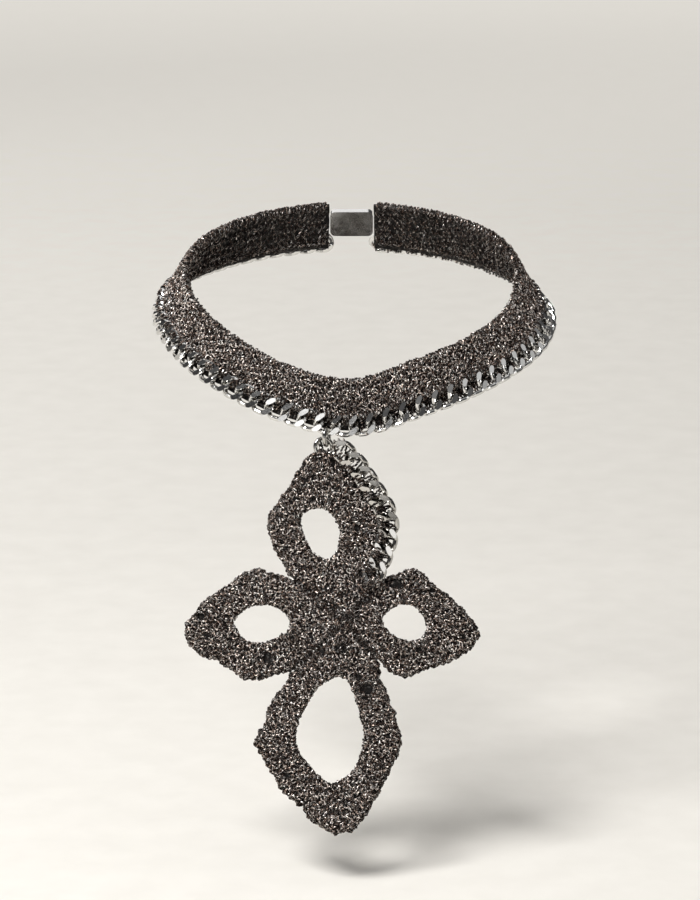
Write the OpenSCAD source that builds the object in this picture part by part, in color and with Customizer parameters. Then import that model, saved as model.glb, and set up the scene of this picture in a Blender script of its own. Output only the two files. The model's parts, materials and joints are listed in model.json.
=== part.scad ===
// Yarn choker: a crocheted strip with a curb chain along its lower edge, and a crocheted
// cross that hangs from it on two jump rings. Millimetres. X is to the right, Y away from
// the viewer, Z up. The origin is the middle of the neck, level with the sides of the loop.

/* [Neck loop] */
// Half of the loop's width at its upper edge
loop_half_width = 60.6; // [54:0.2:70]
// Half of the loop's depth at its upper edge
loop_half_depth = 56; // [50:0.5:66]
// Sideways place of the loop's middle
loop_shift = 0.6; // [-3:0.1:3]
// Width of the crocheted strip
strip_width = 17.3; // [15:0.1:22]
// Thickness of the crochet
crochet_thickness = 3.4; // [3:0.1:4.2]
// Angle from the middle of the back to each end of the strip
back_opening = 8; // [6:0.5:16]
// Height of the plain clasp
clasp_height = 10; // [6:0.5:14]
// Thickness of the plain clasp
clasp_thickness = 3; // [2:0.1:4]

/* [Curb chain] */
// Distance from one link to the next
link_pitch = 6.25; // [6.1:0.01:6.35]
// Half of the length of a link's centre line
link_reach = 4.2; // [4.1:0.01:4.3]
// Half of the width of a link's centre line
link_half_width = 3.3; // [3:0.05:3.5]
// Radius of the link's wire
wire_radius = 0.92; // [0.8:0.01:1]
// Turn of each end of a link out of its plane
link_twist = 42; // [36:1:50]
// Half of the thickness that the links are ground flat to
ground_half = 1.45; // [1.3:0.05:1.8]
// Height of the chain's middle over the middle of the crochet
chain_stand = 1.35; // [1.3:0.05:2.5]

/* [Jump rings] */
// Radius of a jump ring's centre line
ring_radius = 3.1; // [2.9:0.05:3.3]
// Radius of a jump ring's wire
ring_wire = 0.75; // [0.6:0.05:0.8]
// Place of the upper ring round the loop
ring_azimuth = -7.5; // [-7.9:0.1:-7.1]
// Turn of the upper ring about its own height
upper_ring_turn = 8; // [0:1:12]
// Turn of the lower ring about its own height
lower_ring_turn = 15; // [5:1:20]

/* [Cross] */
// Angle that the cross leans back from upright
cross_lean = 20; // [10:1:35]
// Radius that the cross bends round the chest to
chest_radius = 420; // [250:10:2000]
// Gap between one petal and the next
petal_gap = 0.3; // [0.2:0.05:0.6]
// Rounding of the crochet's edges
edge_round = 1.1; // [0.6:0.1:1.4]

/* [Hidden] */

yarn_tone = [0.24, 0.21, 0.2];
steel_tone = [0.78, 0.78, 0.78];

strip_stations = 64; // sections along the crocheted strip
petal_stations = 36; // sections round a petal
link_steps = 12;     // sections round a link
link_sides = 6;      // sides of a link's wire
path_steps = 120;    // samples for measuring a path
clear = 0.3;         // gap between pieces that rest on each other
tongue = 1.2;        // thickness of the crochet behind the chain

// A row for every 22.5 degrees round the loop, from the front towards the right:
// height of the upper edge, lean of the strip out of upright, roll of the chain.
HEIGHT = 0;
LEAN = 1;
ROLL = 2;
LOOP = [
    [-29.2, 17, 0],
    [-23.0, 21, 12],
    [-17.3, 29, 24],
    [-11.2, 36, 24],
    [-3.0, 33, 14],
    [4.0, 23, 5],
    [8.5, 16, 0],
    [11.0, 13, 0],
    [12.0, 12, 0],
    [11.0, 13, 0],
    [8.5, 16, 0],
    [4.2, 25, -4],
    [-1.8, 34, -10],
    [-9.0, 31, -12],
    [-16.6, 31, -8],
    [-24.9, 23, -4],
];

// Rows round each petal's hole: bearing, reach of the inner edge, reach of the outer edge.
// Past the cross's middle the reach is only a limit, as the neighbouring petals meet it.
BEARING = 0;
INNER = 1;
OUTER = 2;
FAR = 60;
TOP_HOLE = [-8.9, 31.2];
TOP = [
    [0, 6.7, 24.0], [10, 6.7, 24.6], [21, 6.8, 24.6], [33, 6.8, 23.4], [51, 7.1, 24.2],
    [64, 7.7, 25.8], [76, 8.5, 27.6], [84, 8.8, 29.4], [90, 8.9, 30.0], [98, 8.9, 28.5],
    [104, 8.9, 26.1], [117, 8.8, 21.5], [130, 9.2, 19.6], [144, 8.2, 19.1],
    [164, 6.5, 19.7], [179, 5.4, 18.2], [203, 5.0, 17.0], [222, 5.3, 17.3],
    [238, 6.1, 18.8], [242, 6.3, FAR], [270, 7.8, FAR], [290, 9.3, FAR],
    [300, 8.6, FAR], [316, 7.8, FAR], [324, 7.4, 24.2], [336, 7.0, 23.5], [350, 6.8, 23.7],
];
LEFT_HOLE = [-29.6, -0.7];
LEFT = [
    [0, 9.5, FAR], [30, 8.2, FAR], [54, 7.0, FAR], [57, 7.0, 19.4], [66, 6.8, 18.3],
    [84, 6.3, 18.5], [91, 6.1, 19.6], [98, 6.1, 19.8], [107, 6.2, 19.4],
    [120, 6.7, 18.9], [133, 7.1, 18.4], [145, 7.6, 19.7], [158, 8.4, 22.4],
    [169, 9.2, 24.3], [177, 9.7, 26.4], [185, 9.4, 27.9], [192, 8.9, 27.7],
    [199, 8.6, 26.7], [208, 8.4, 24.2], [219, 8.0, 20.5], [238, 7.5, 19.8],
    [252, 6.8, 20.6], [260, 6.5, 20.6], [274, 6.3, 19.3], [289, 6.1, 18.8],
    [304, 6.3, 19.8], [307, 6.4, FAR], [330, 7.6, FAR], [350, 9.7, FAR],
];
RIGHT_HOLE = [21.0, -0.5];
RIGHT = [
    [0, 7.2, 25.3], [7, 7.0, 23.3], [17, 6.9, 20.5], [37, 6.4, 17.9], [56, 6.4, 17.1],
    [68, 6.5, 19.1], [80, 6.3, 19.8], [92, 6.2, 18.4], [104, 6.3, 17.2],
    [112, 6.2, 16.0], [120, 6.2, FAR], [150, 6.8, FAR], [175, 7.5, FAR],
    [200, 6.2, FAR], [229, 5.3, FAR], [233, 5.3, 16.2], [244, 5.2, 16.9],
    [257, 5.3, 18.5], [270, 5.6, 19.4], [284, 6.3, 18.6], [299, 6.7, 18.2],
    [316, 7.6, 20.8], [330, 7.8, 23.4], [342, 7.9, 26.2], [351, 7.8, 27.4],
];
BOTTOM_HOLE = [-5.5, -38.6];
BOTTOM = [
    [0, 11.6, 24.4], [24, 11.4, 23.5], [45, 13.0, 25.6], [56, 14.8, 30.2],
    [60, 15.6, FAR], [70, 18.4, FAR], [80, 19.1, FAR], [100, 16.0, FAR],
    [117, 13.1, FAR], [121, 12.6, 25.1], [134, 11.5, 22.6], [152, 10.9, 23.1],
    [174, 11.1, 23.4], [190, 11.9, 27.3], [200, 12.3, 26.0], [218, 13.0, 25.8],
    [235, 13.6, 27.8], [250, 15.2, 28.9], [256, 16.0, 32.3], [264, 17.2, 34.4],
    [273, 18.6, 37.1], [283, 17.7, 36.5], [291, 16.8, 33.7], [302, 16.1, 29.6],
    [320, 13.6, 26.2], [336, 12.5, 25.5], [351, 11.9, 26.1],
];
// Bearings, from the cross's middle, of the lines where two petals meet
MEET_TOP_LEFT = 141;
MEET_TOP_RIGHT = 49;
MEET_BOTTOM_LEFT = 223;
MEET_BOTTOM_RIGHT = 310;
// The front of the top petal is lower under the side chain, between these bearings
LEDGE_FROM = -30;
LEDGE_TO = 80;

// The lower ring's middle, and rows along the side chain: across, up, height over the
// crochet's middle, roll.
RING_SPOT = [-7.7, 62.4];
SIDE_PATH = [
    [-4.7, 63.9, 3.6, 10],
    [-1.3, 60.9, 3.3, 12],
    [3.2, 56.6, 2.9, 18],
    [7.4, 50.8, 2.8, 18],
    [11.2, 44.8, 2.7, 16],
    [14.3, 39.2, 2.3, 12],
    [15.2, 33.4, 1.9, 6],
    [14.3, 27.4, 1.7, 2],
    [12.5, 22.0, 2.5, 0],
    [10.5, 17.4, 3.8, 0],
    [8.6, 13.2, 4.4, 0],
];
SIDE_LINKS = 9;

function unit(v) = v / norm(v);
function wrap(i, n) = (i % n + n) % n;
function direction(bearing) = [cos(bearing), sin(bearing)];

// A smooth curve through four values, between the second and the third
function between(a, b, c, d, f) =
    b + f / 2 * ((c - a) + f * ((2 * a - 5 * b + 4 * c - d) + f * (3 * (b - c) + d - a)));
function around_loop(column, azimuth) =
    let (n = len(LOOP), place = azimuth / 360 * n + n, i = floor(place), f = place - i)
    between(LOOP[wrap(i - 1, n)][column], LOOP[wrap(i, n)][column],
        LOOP[wrap(i + 1, n)][column], LOOP[wrap(i + 2, n)][column], f);
function along_path(rows, place) =
    let (last = len(rows) - 1, i = max(0, min(last - 1, floor(place))), f = place - i)
    between(rows[max(0, i - 1)], rows[i], rows[i + 1], rows[min(last, i + 2)], f);

// The strip's own directions at an azimuth, and a point of it: far down the strip and
// high over its middle
function outward(azimuth) = [sin(azimuth), -cos(azimuth), 0];
function down_strip(azimuth) =
    let (lean = around_loop(LEAN, azimuth))
    outward(azimuth) * sin(lean) - [0, 0, cos(lean)];
function off_strip(azimuth) =
    let (lean = around_loop(LEAN, azimuth))
    outward(azimuth) * cos(lean) + [0, 0, sin(lean)];
function upper_edge(azimuth) =
    [loop_shift + loop_half_width * sin(azimuth), -loop_half_depth * cos(azimuth),
        around_loop(HEIGHT, azimuth)];
function strip_point(azimuth, far, high) =
    upper_edge(azimuth) + far * down_strip(azimuth) + high * off_strip(azimuth);

// Section of the crochet: far from its first edge, high over its middle. The front
// drops to a ledge over the last part of the width where the chain lies on it.
half = crochet_thickness / 2;
ledge_width = link_half_width + wire_radius + clear;
function crochet_section(width, ledged) =
    let (round = min(edge_round, width / 4), low = -half + tongue,
        front = ledged ? low : half, tip = ledged ? tongue / 3 : round,
        foot = width - ledge_width)
    [
        [0, -half + round], [round, -half], [width - tip, -half], [width, -half + tip],
        [width, front - tip], [width - tip, front], [foot, front],
        [foot - clear, half], [round, half], [0, half - round],
    ];
section_points = 10;

// Faces of a skin over rings of points. Closed skins join the last ring to the first,
// open ones get end faces that run across a ten-point section like a ladder.
function skin_faces(rings, points, closed) = [
    for (i = [0:rings - (closed ? 1 : 2)], j = [0:points - 1])
        let (k = (i + 1) % rings, m = (j + 1) % points)
        each [
            [i * points + j, k * points + m, k * points + j],
            [i * points + j, i * points + m, k * points + m],
        ],
];
function ladder(first, points) = [
    for (j = [0:points / 2 - 2]) [first + j, first + j + 1, first + points - 2 - j,
        first + points - 1 - j],
];
function flipped(faces) = [for (f = faces) [for (i = [len(f) - 1:-1:0]) f[i]]];

module choker_band() {
    span = 180 - back_opening;
    points = [
        for (i = [0:strip_stations - 1])
            let (azimuth = -span + 2 * span * i / (strip_stations - 1))
            for (p = crochet_section(strip_width, true)) strip_point(azimuth, p[0], p[1]),
    ];
    color(yarn_tone)
        polyhedron(points, concat(skin_faces(strip_stations, section_points, false),
            flipped(ladder(0, section_points)),
            ladder((strip_stations - 1) * section_points, section_points)));
}

// The clasp lies between the strip's two ends at the back.
module clasp() {
    far = strip_width / 2;
    middle = strip_point(180, far, 0);
    ends = strip_point(180 - back_opening, far, 0) - strip_point(180 + back_opening, far, 0);
    length = norm(ends) - 2 * clear - crochet_thickness * sin(back_opening);
    inset = strip_point(180 - back_opening, far, 0)[1];
    lean = around_loop(LEAN, 180);
    color(steel_tone)
        translate([middle[0], (middle[1] + inset) / 2, middle[2]])
        rotate([90 + lean, 0, 0])
        linear_extrude(clasp_thickness, center = true)
        offset_plate(length, clasp_height, 2);
}
module offset_plate(length, height, corner) {
    square([length - 2 * corner, height], center = true);
    square([length, height - 2 * corner], center = true);
    for (x = [-1, 1], y = [-1, 1])
        translate([x * (length / 2 - corner), y * (height / 2 - corner)])
        circle(corner, $fn = 32);
}

// One link of the curb chain: an oval of wire whose ends turn out of its plane, one each
// way, and whose two faces are ground flat.
function rounded_power(v) = sign(v) * pow(abs(v), 0.87);
function link_turn(x) = -link_twist * sign(x) * pow(abs(x), 0.8);
function link_centre(t) =
    let (x = rounded_power(cos(t)), y = rounded_power(sin(t)), turn = link_turn(x))
    [link_reach * x, link_half_width * y * cos(turn), link_half_width * y * sin(turn)];
function ground(p) = [p[0], p[1], max(-ground_half, min(ground_half, p[2]))];
LINK_POINTS = [
    for (i = [0:link_steps - 1])
        let (t = 360 * i / link_steps, centre = link_centre(t),
            along = unit(link_centre(t + 4) - link_centre(t - 4)),
            turn = link_turn(rounded_power(cos(t))),
            plane = [0, -sin(turn), cos(turn)],
            up = unit(plane - (plane * along) * along), side = cross(along, up))
        for (j = [0:link_sides - 1])
            ground(centre + wire_radius * (cos(360 * j / link_sides) * side
                + sin(360 * j / link_sides) * up)),
];
LINK_FACES = skin_faces(link_steps, link_sides, true);

// A link at a place, with its length along one direction and its face towards another
module placed_link(place, along, facing) {
    x = unit(along);
    z = unit(facing - (facing * x) * x);
    y = cross(z, x);
    polyhedron([for (p = LINK_POINTS) place + p[0] * x + p[1] * y + p[2] * z], LINK_FACES);
}

// Rolling the chain lifts it, so that its upper side stays clear of the crochet.
function chain_height(azimuth) =
    let (roll = around_loop(ROLL, azimuth))
    chain_stand + max(0, sin(roll)) * link_half_width;
function chain_place(azimuth) = strip_point(azimuth, strip_width, chain_height(azimuth));
function chain_facing(azimuth) =
    let (roll = around_loop(ROLL, azimuth))
    cos(roll) * off_strip(azimuth) - sin(roll) * down_strip(azimuth);

// Length along the chain's line from one azimuth to each of the next, as a table that
// gives the azimuth back for a length
function measured(from, to) =
    let (step = (to - from) / path_steps)
    [
        for (i = 0, s = 0; i <= path_steps;
            s = s + norm(chain_place(from + (i + 1) * step) - chain_place(from + i * step)),
            i = i + 1) [s, from + i * step],
    ];

link_azimuth = -7.4; // the link that holds the upper ring
chain_span = 180 - back_opening - 1.5;
module edge_chain() {
    rightwards = measured(link_azimuth, chain_span);
    leftwards = measured(link_azimuth, -chain_span);
    right_links = floor(rightwards[path_steps][0] / link_pitch);
    left_links = floor(leftwards[path_steps][0] / link_pitch);
    color(steel_tone)
        for (i = [-left_links:right_links])
            let (azimuth = lookup(abs(i) * link_pitch, i < 0 ? leftwards : rightwards))
            placed_link(chain_place(azimuth),
                chain_place(azimuth + 1) - chain_place(azimuth - 1), chain_facing(azimuth));
}

module ring() {
    rotate_extrude($fn = 48) translate([ring_radius, 0]) circle(ring_wire, $fn = 24);
}
module in_frame(place, x, y, z) {
    multmatrix([
        [x[0], y[0], z[0], place[0]], [x[1], y[1], z[1], place[1]],
        [x[2], y[2], z[2], place[2]], [0, 0, 0, 1],
    ]) children();
}

// The upper ring goes round the lower side of its link and through the lower ring.
upper_far = strip_width + link_half_width - wire_radius - ring_wire - 0.15 + ring_radius;
ring_high = chain_height(ring_azimuth);
module upper_ring() {
    down = down_strip(ring_azimuth);
    off = off_strip(ring_azimuth);
    across = cross(off, down);
    turned = across * cos(upper_ring_turn) + off * sin(upper_ring_turn);
    color(steel_tone)
        in_frame(strip_point(ring_azimuth, upper_far, ring_high), cross(down, turned), down,
            turned) ring();
}

// The cross's own directions, and its middle, found from the ring that it hangs on
CROSS_UP = [0, sin(cross_lean), cos(cross_lean)];
CROSS_OUT = [0, -cos(cross_lean), sin(cross_lean)];
lower_top = strip_point(ring_azimuth, upper_far + ring_radius - 2 * ring_wire - 0.85,
    ring_high);
ring_slip = 1.0; // how far the lower ring hangs to the left of the upper one
lower_middle = lower_top - [ring_slip, 0, 0]
    - sqrt(ring_radius * ring_radius - pow(ring_slip / cos(lower_ring_turn), 2)) * CROSS_UP;
CROSS_MIDDLE = lower_middle - [RING_SPOT[0], 0, 0] - RING_SPOT[1] * CROSS_UP
    + bend(RING_SPOT[0]) * CROSS_OUT;
function bend(x) = x * x / (2 * chest_radius);
function cross_point(x, y, high) =
    CROSS_MIDDLE + [x, 0, 0] + y * CROSS_UP + (high - bend(x)) * CROSS_OUT;

module lower_ring_at(wire) {
    turned = CROSS_OUT * cos(lower_ring_turn) + [sin(lower_ring_turn), 0, 0];
    in_frame(lower_middle, cross(CROSS_UP, turned), CROSS_UP, turned)
        rotate_extrude($fn = 48) translate([ring_radius, 0]) circle(wire, $fn = 24);
}
module lower_ring() {
    color(steel_tone) lower_ring_at(ring_wire);
}

// How far the line between two petals lets one reach at a bearing from its hole
function meeting_reach(hole, bearing, line) =
    let (d = direction(bearing), e = direction(line), k = cross(d, e))
    abs(k) < 0.001 ? FAR
        : let (reach = cross(-hole, e) / k, way = cross(-hole, d) / k)
            reach <= 0 || way < -0.01 ? FAR : reach - petal_gap / 2 / abs(k);
function row_at(rows, column, bearing) =
    lookup(wrap(bearing, 360), concat([for (r = rows) [r[BEARING], r[column]]],
        [[360, rows[0][column]]]));

// A petal is a thick loop of crochet round its hole. The first section points to the
// cross's middle, so that the petal's corner is there.
function petal_points(hole, rows, lines, ledge) =
    let (root = atan2(-hole[1], -hole[0]))
    [
        for (i = [0:petal_stations - 1])
            let (bearing = root + 360 * i / petal_stations, turned = wrap(bearing + 180, 360) - 180,
                inner = row_at(rows, INNER, bearing),
                outer = min(row_at(rows, OUTER, bearing), meeting_reach(hole, bearing, lines[0]),
                    meeting_reach(hole, bearing, lines[1])),
                d = direction(bearing))
            for (p = crochet_section(outer - inner, turned > ledge[0] && turned < ledge[1]))
                let (reach = inner + p[0])
                cross_point(hole[0] + reach * d[0], hole[1] + reach * d[1], p[1]),
    ];
module petal(hole, rows, lines, ledge = [0, 0]) {
    color(yarn_tone)
        polyhedron(petal_points(hole, rows, lines, ledge),
            skin_faces(petal_stations, section_points, true));
}
// The lower ring goes through the tip of the top petal.
module top_petal() {
    color(yarn_tone)
        difference() {
            petal(TOP_HOLE, TOP, [MEET_TOP_LEFT, MEET_TOP_RIGHT], [LEDGE_FROM, LEDGE_TO]);
            lower_ring_at(ring_wire + clear);
        }
}
module left_petal() {
    petal(LEFT_HOLE, LEFT, [MEET_TOP_LEFT, MEET_BOTTOM_LEFT]);
}
module right_petal() {
    petal(RIGHT_HOLE, RIGHT, [MEET_TOP_RIGHT, MEET_BOTTOM_RIGHT]);
}
module bottom_petal() {
    petal(BOTTOM_HOLE, BOTTOM, [MEET_BOTTOM_LEFT, MEET_BOTTOM_RIGHT]);
}

// The side chain starts in the lower ring and lies down the right edge of the top petal.
function side_place(row) = cross_point(row[0], row[1], row[2]);
SIDE_LENGTHS = [
    for (i = 0, s = 0; i <= path_steps;
        s = s + norm(side_place(along_path(SIDE_PATH, (i + 1) / path_steps * (len(SIDE_PATH) - 1)))
            - side_place(along_path(SIDE_PATH, i / path_steps * (len(SIDE_PATH) - 1)))),
        i = i + 1) [s, i / path_steps * (len(SIDE_PATH) - 1)],
];
side_start = 3.6; // length of the path before the first link's middle
side_pitch = 6.1; // this chain lies closer together than the one on the strip
module side_link(i) {
    place = lookup(side_start + i * side_pitch, SIDE_LENGTHS);
    row = along_path(SIDE_PATH, place);
    along = unit(side_place(along_path(SIDE_PATH, place + 0.3))
        - side_place(along_path(SIDE_PATH, place - 0.3)));
    across = cross(CROSS_OUT, along);
    placed_link(side_place(row), along, cos(row[3]) * CROSS_OUT - sin(row[3]) * across);
}
module side_chain() {
    color(steel_tone) for (i = [0:SIDE_LINKS - 1]) side_link(i);
}

choker_band();
clasp();
edge_chain();
upper_ring();
lower_ring();
top_petal();
left_petal();
right_petal();
bottom_petal();
side_chain();
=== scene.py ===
"""Looks of a crocheted yarn choker with a curb chain and a petal cross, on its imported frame.

Lengths are in millimetres while a form is worked out and in metres in every mesh.
"""

import json
import logging
import math
from collections.abc import Callable, Iterator
from dataclasses import dataclass, field, fields
from enum import Enum
from functools import cached_property

import bmesh
import bpy
import numpy as np
from mathutils import Matrix, Vector, noise

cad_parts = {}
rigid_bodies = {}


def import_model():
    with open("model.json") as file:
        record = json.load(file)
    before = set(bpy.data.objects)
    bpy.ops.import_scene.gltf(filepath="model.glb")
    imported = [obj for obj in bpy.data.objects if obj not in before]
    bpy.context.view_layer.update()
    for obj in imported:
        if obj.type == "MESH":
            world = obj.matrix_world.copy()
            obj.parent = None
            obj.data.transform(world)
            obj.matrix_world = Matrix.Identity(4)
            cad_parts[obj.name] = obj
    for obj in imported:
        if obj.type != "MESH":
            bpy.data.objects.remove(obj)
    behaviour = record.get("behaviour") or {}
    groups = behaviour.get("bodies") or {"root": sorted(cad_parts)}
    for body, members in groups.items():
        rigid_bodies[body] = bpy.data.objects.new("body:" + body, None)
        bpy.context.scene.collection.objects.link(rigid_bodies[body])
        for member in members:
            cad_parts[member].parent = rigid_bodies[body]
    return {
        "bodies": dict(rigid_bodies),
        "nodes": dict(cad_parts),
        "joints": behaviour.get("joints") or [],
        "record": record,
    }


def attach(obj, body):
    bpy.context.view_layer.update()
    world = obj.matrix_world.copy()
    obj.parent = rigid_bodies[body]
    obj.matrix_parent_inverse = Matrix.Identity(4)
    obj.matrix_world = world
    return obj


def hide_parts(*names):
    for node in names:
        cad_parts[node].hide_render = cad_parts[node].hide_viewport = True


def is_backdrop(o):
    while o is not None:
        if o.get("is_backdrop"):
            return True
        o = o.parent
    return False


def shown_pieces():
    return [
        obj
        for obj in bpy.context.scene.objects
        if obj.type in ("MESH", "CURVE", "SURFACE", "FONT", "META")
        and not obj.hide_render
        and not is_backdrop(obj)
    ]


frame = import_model()

LOG = logging.getLogger("choker")
MM = 0.001
BODY = "root"

Triple = tuple[float, float, float]
Axes = tuple[np.ndarray, np.ndarray, np.ndarray]
Socket = bpy.types.NodeSocket
Plug = Socket | float | int | str | tuple | bool | bpy.types.Material


def unit(vector: np.ndarray) -> np.ndarray:
    """Return a vector of length one."""
    return vector / np.linalg.norm(vector)


def square(vector: np.ndarray, along: np.ndarray) -> np.ndarray:
    """Return the direction of a vector once it is square to another direction."""
    return unit(vector - np.dot(vector, along) * along)


def lengths_along(points: np.ndarray) -> np.ndarray:
    """Return how far along a line each of its points is."""
    return np.concatenate([[0], np.cumsum(np.linalg.norm(np.diff(points, axis=0), axis=1))])


def between(a: float, b: float, c: float, d: float, share: float) -> float:
    """Read a smooth curve through four values.

    Args:
        a: The value before the stretch.
        b: The value at its start.
        c: The value at its end.
        d: The value after it.
        share: The place from its start, 0, to its end, 1.

    Returns:
        The curve's value there.
    """
    bend = (2 * a - 5 * b + 4 * c - d) + share * (3 * (b - c) + d - a)
    return b + share / 2 * ((c - a) + share * bend)


def direction(bearing: float) -> tuple[float, float]:
    """Return across and up for a bearing in degrees."""
    return math.cos(math.radians(bearing)), math.sin(math.radians(bearing))


class LoopColumn(Enum):
    """Columns of the table of rows round the neck."""

    HEIGHT = 0
    LEAN = 1
    ROLL = 2


LOOP_ROWS = (
    (-29.2, 17, 0),
    (-23.0, 21, 12),
    (-17.3, 29, 24),
    (-11.2, 36, 24),
    (-3.0, 33, 14),
    (4.0, 23, 5),
    (8.5, 16, 0),
    (11.0, 13, 0),
    (12.0, 12, 0),
    (11.0, 13, 0),
    (8.5, 16, 0),
    (4.2, 25, -4),
    (-1.8, 34, -10),
    (-9.0, 31, -12),
    (-16.6, 31, -8),
    (-24.9, 23, -4),
)


@dataclass(frozen=True)
class NeckLine:
    """The strip's upper edge round the neck, with the strip's lean and the chain's roll."""

    half_width: float = 60.6
    half_depth: float = 56.0
    shift: float = 0.6
    strip_width: float = 17.3
    back_opening: float = 8.0
    chain_stand: float = 1.35
    link_half_width: float = 3.3

    def value(self, column: LoopColumn, azimuth: float) -> float:
        """Read a column of the table.

        Args:
            column: The column.
            azimuth: Degrees round the loop, from the front towards the right.

        Returns:
            The smoothed value.
        """
        count = len(LOOP_ROWS)
        place = azimuth / 360 * count + count
        i = math.floor(place)
        rows = [LOOP_ROWS[(i + k) % count][column.value] for k in (-1, 0, 1, 2)]
        return between(*rows, place - i)

    def outward(self, azimuth: float) -> np.ndarray:
        """Return the level direction out of the loop."""
        across, up = direction(azimuth)
        return np.array([up, -across, 0.0])

    def down(self, azimuth: float) -> np.ndarray:
        """Return the direction down the strip."""
        lean = math.radians(self.value(LoopColumn.LEAN, azimuth))
        return self.outward(azimuth) * math.sin(lean) - np.array([0, 0, math.cos(lean)])

    def off(self, azimuth: float) -> np.ndarray:
        """Return the direction out of the strip's front."""
        lean = math.radians(self.value(LoopColumn.LEAN, azimuth))
        return self.outward(azimuth) * math.cos(lean) + np.array([0, 0, math.sin(lean)])

    def point(self, azimuth: float, far: float, high: float) -> np.ndarray:
        """Find a point of the strip.

        Args:
            azimuth: Degrees round the loop.
            far: How far it is below the upper edge, along the strip.
            high: How high it is over the strip's middle.

        Returns:
            The point in millimetres.
        """
        across, up = direction(azimuth)
        edge = np.array(
            [
                self.shift + self.half_width * up,
                -self.half_depth * across,
                self.value(LoopColumn.HEIGHT, azimuth),
            ]
        )
        return edge + far * self.down(azimuth) + high * self.off(azimuth)

    def along(self, azimuth: float, far: float, high: float) -> np.ndarray:
        """Return the direction round the loop, towards larger azimuths, at a point of the strip."""
        step = self.point(azimuth + 0.5, far, high) - self.point(azimuth - 0.5, far, high)
        return unit(step)

    def chain_point(self, azimuth: float) -> np.ndarray:
        """Find the middle of the edge chain, which rises where it is rolled.

        Args:
            azimuth: Degrees round the loop.

        Returns:
            The point in millimetres.
        """
        roll = math.radians(self.value(LoopColumn.ROLL, azimuth))
        high = self.chain_stand + max(0.0, math.sin(roll)) * self.link_half_width
        return self.point(azimuth, self.strip_width, high)

    def chain_facing(self, azimuth: float) -> np.ndarray:
        """Return the direction that the edge chain's face points to."""
        roll = math.radians(self.value(LoopColumn.ROLL, azimuth))
        return math.cos(roll) * self.off(azimuth) - math.sin(roll) * self.down(azimuth)


@dataclass(frozen=True)
class CrossPlane:
    """The gently bent plane that the petals lie in."""

    lean: float = 20.0
    radius: float = 420.0
    middle: Triple = (-1.69915, -86.2024, -111.129)

    @property
    def up(self) -> np.ndarray:
        """Return the direction up the cross."""
        across, up = direction(self.lean)
        return np.array([0, up, across])

    @property
    def out(self) -> np.ndarray:
        """Return the direction out of the cross's front."""
        across, up = direction(self.lean)
        return np.array([0, -across, up])

    def toward(self, across: float, up: float) -> np.ndarray:
        """Return a direction in the plane from its parts across and up."""
        return np.array([across, 0, 0]) + up * self.up

    def point(self, x: float, y: float, high: float) -> np.ndarray:
        """Find a point of the cross.

        Args:
            x: Across, from the cross's middle.
            y: Up the cross.
            high: Height over the crochet's middle.

        Returns:
            The point in millimetres.
        """
        bend = x * x / (2 * self.radius)
        return np.array(self.middle) + [x, 0, 0] + y * self.up + (high - bend) * self.out


@dataclass(frozen=True)
class Meeting:
    """A line from the cross's middle where two petals meet."""

    bearing: float
    gap: float = 0.3
    far: float = 60.0

    def reach(self, hole: tuple[float, float], bearing: float) -> float:
        """Find how far the line lets a petal reach.

        Args:
            hole: The middle of the petal's hole.
            bearing: The bearing from there.

        Returns:
            The reach, or a large one where the line isn't met.
        """
        (dx, dy), (ex, ey) = direction(bearing), direction(self.bearing)
        turn = dx * ey - dy * ex
        if abs(turn) < 0.001:
            return self.far
        reach = (-hole[0] * ey + hole[1] * ex) / turn
        way = (-hole[0] * dy + hole[1] * dx) / turn
        if reach <= 0 or way < -0.01:
            return self.far
        return reach - self.gap / 2 / abs(turn)


FAR = 60.0
TOP_ROWS = (
    (0, 6.7, 24.0), (10, 6.7, 24.6), (21, 6.8, 24.6), (33, 6.8, 23.4), (51, 7.1, 24.2),
    (64, 7.7, 25.8), (76, 8.5, 27.6), (84, 8.8, 29.4), (90, 8.9, 30.0), (98, 8.9, 28.5),
    (104, 8.9, 26.1), (117, 8.8, 21.5), (130, 9.2, 19.6), (144, 8.2, 19.1),
    (164, 6.5, 19.7), (179, 5.4, 18.2), (203, 5.0, 17.0), (222, 5.3, 17.3),
    (238, 6.1, 18.8), (242, 6.3, FAR), (270, 7.8, FAR), (290, 9.3, FAR),
    (300, 8.6, FAR), (316, 7.8, FAR), (324, 7.4, 24.2), (336, 7.0, 23.5), (350, 6.8, 23.7),
)
LEFT_ROWS = (
    (0, 9.5, FAR), (30, 8.2, FAR), (54, 7.0, FAR), (57, 7.0, 19.4), (66, 6.8, 18.3),
    (84, 6.3, 18.5), (91, 6.1, 19.6), (98, 6.1, 19.8), (107, 6.2, 19.4),
    (120, 6.7, 18.9), (133, 7.1, 18.4), (145, 7.6, 19.7), (158, 8.4, 22.4),
    (169, 9.2, 24.3), (177, 9.7, 26.4), (185, 9.4, 27.9), (192, 8.9, 27.7),
    (199, 8.6, 26.7), (208, 8.4, 24.2), (219, 8.0, 20.5), (238, 7.5, 19.8),
    (252, 6.8, 20.6), (260, 6.5, 20.6), (274, 6.3, 19.3), (289, 6.1, 18.8),
    (304, 6.3, 19.8), (307, 6.4, FAR), (330, 7.6, FAR), (350, 9.7, FAR),
)
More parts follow.
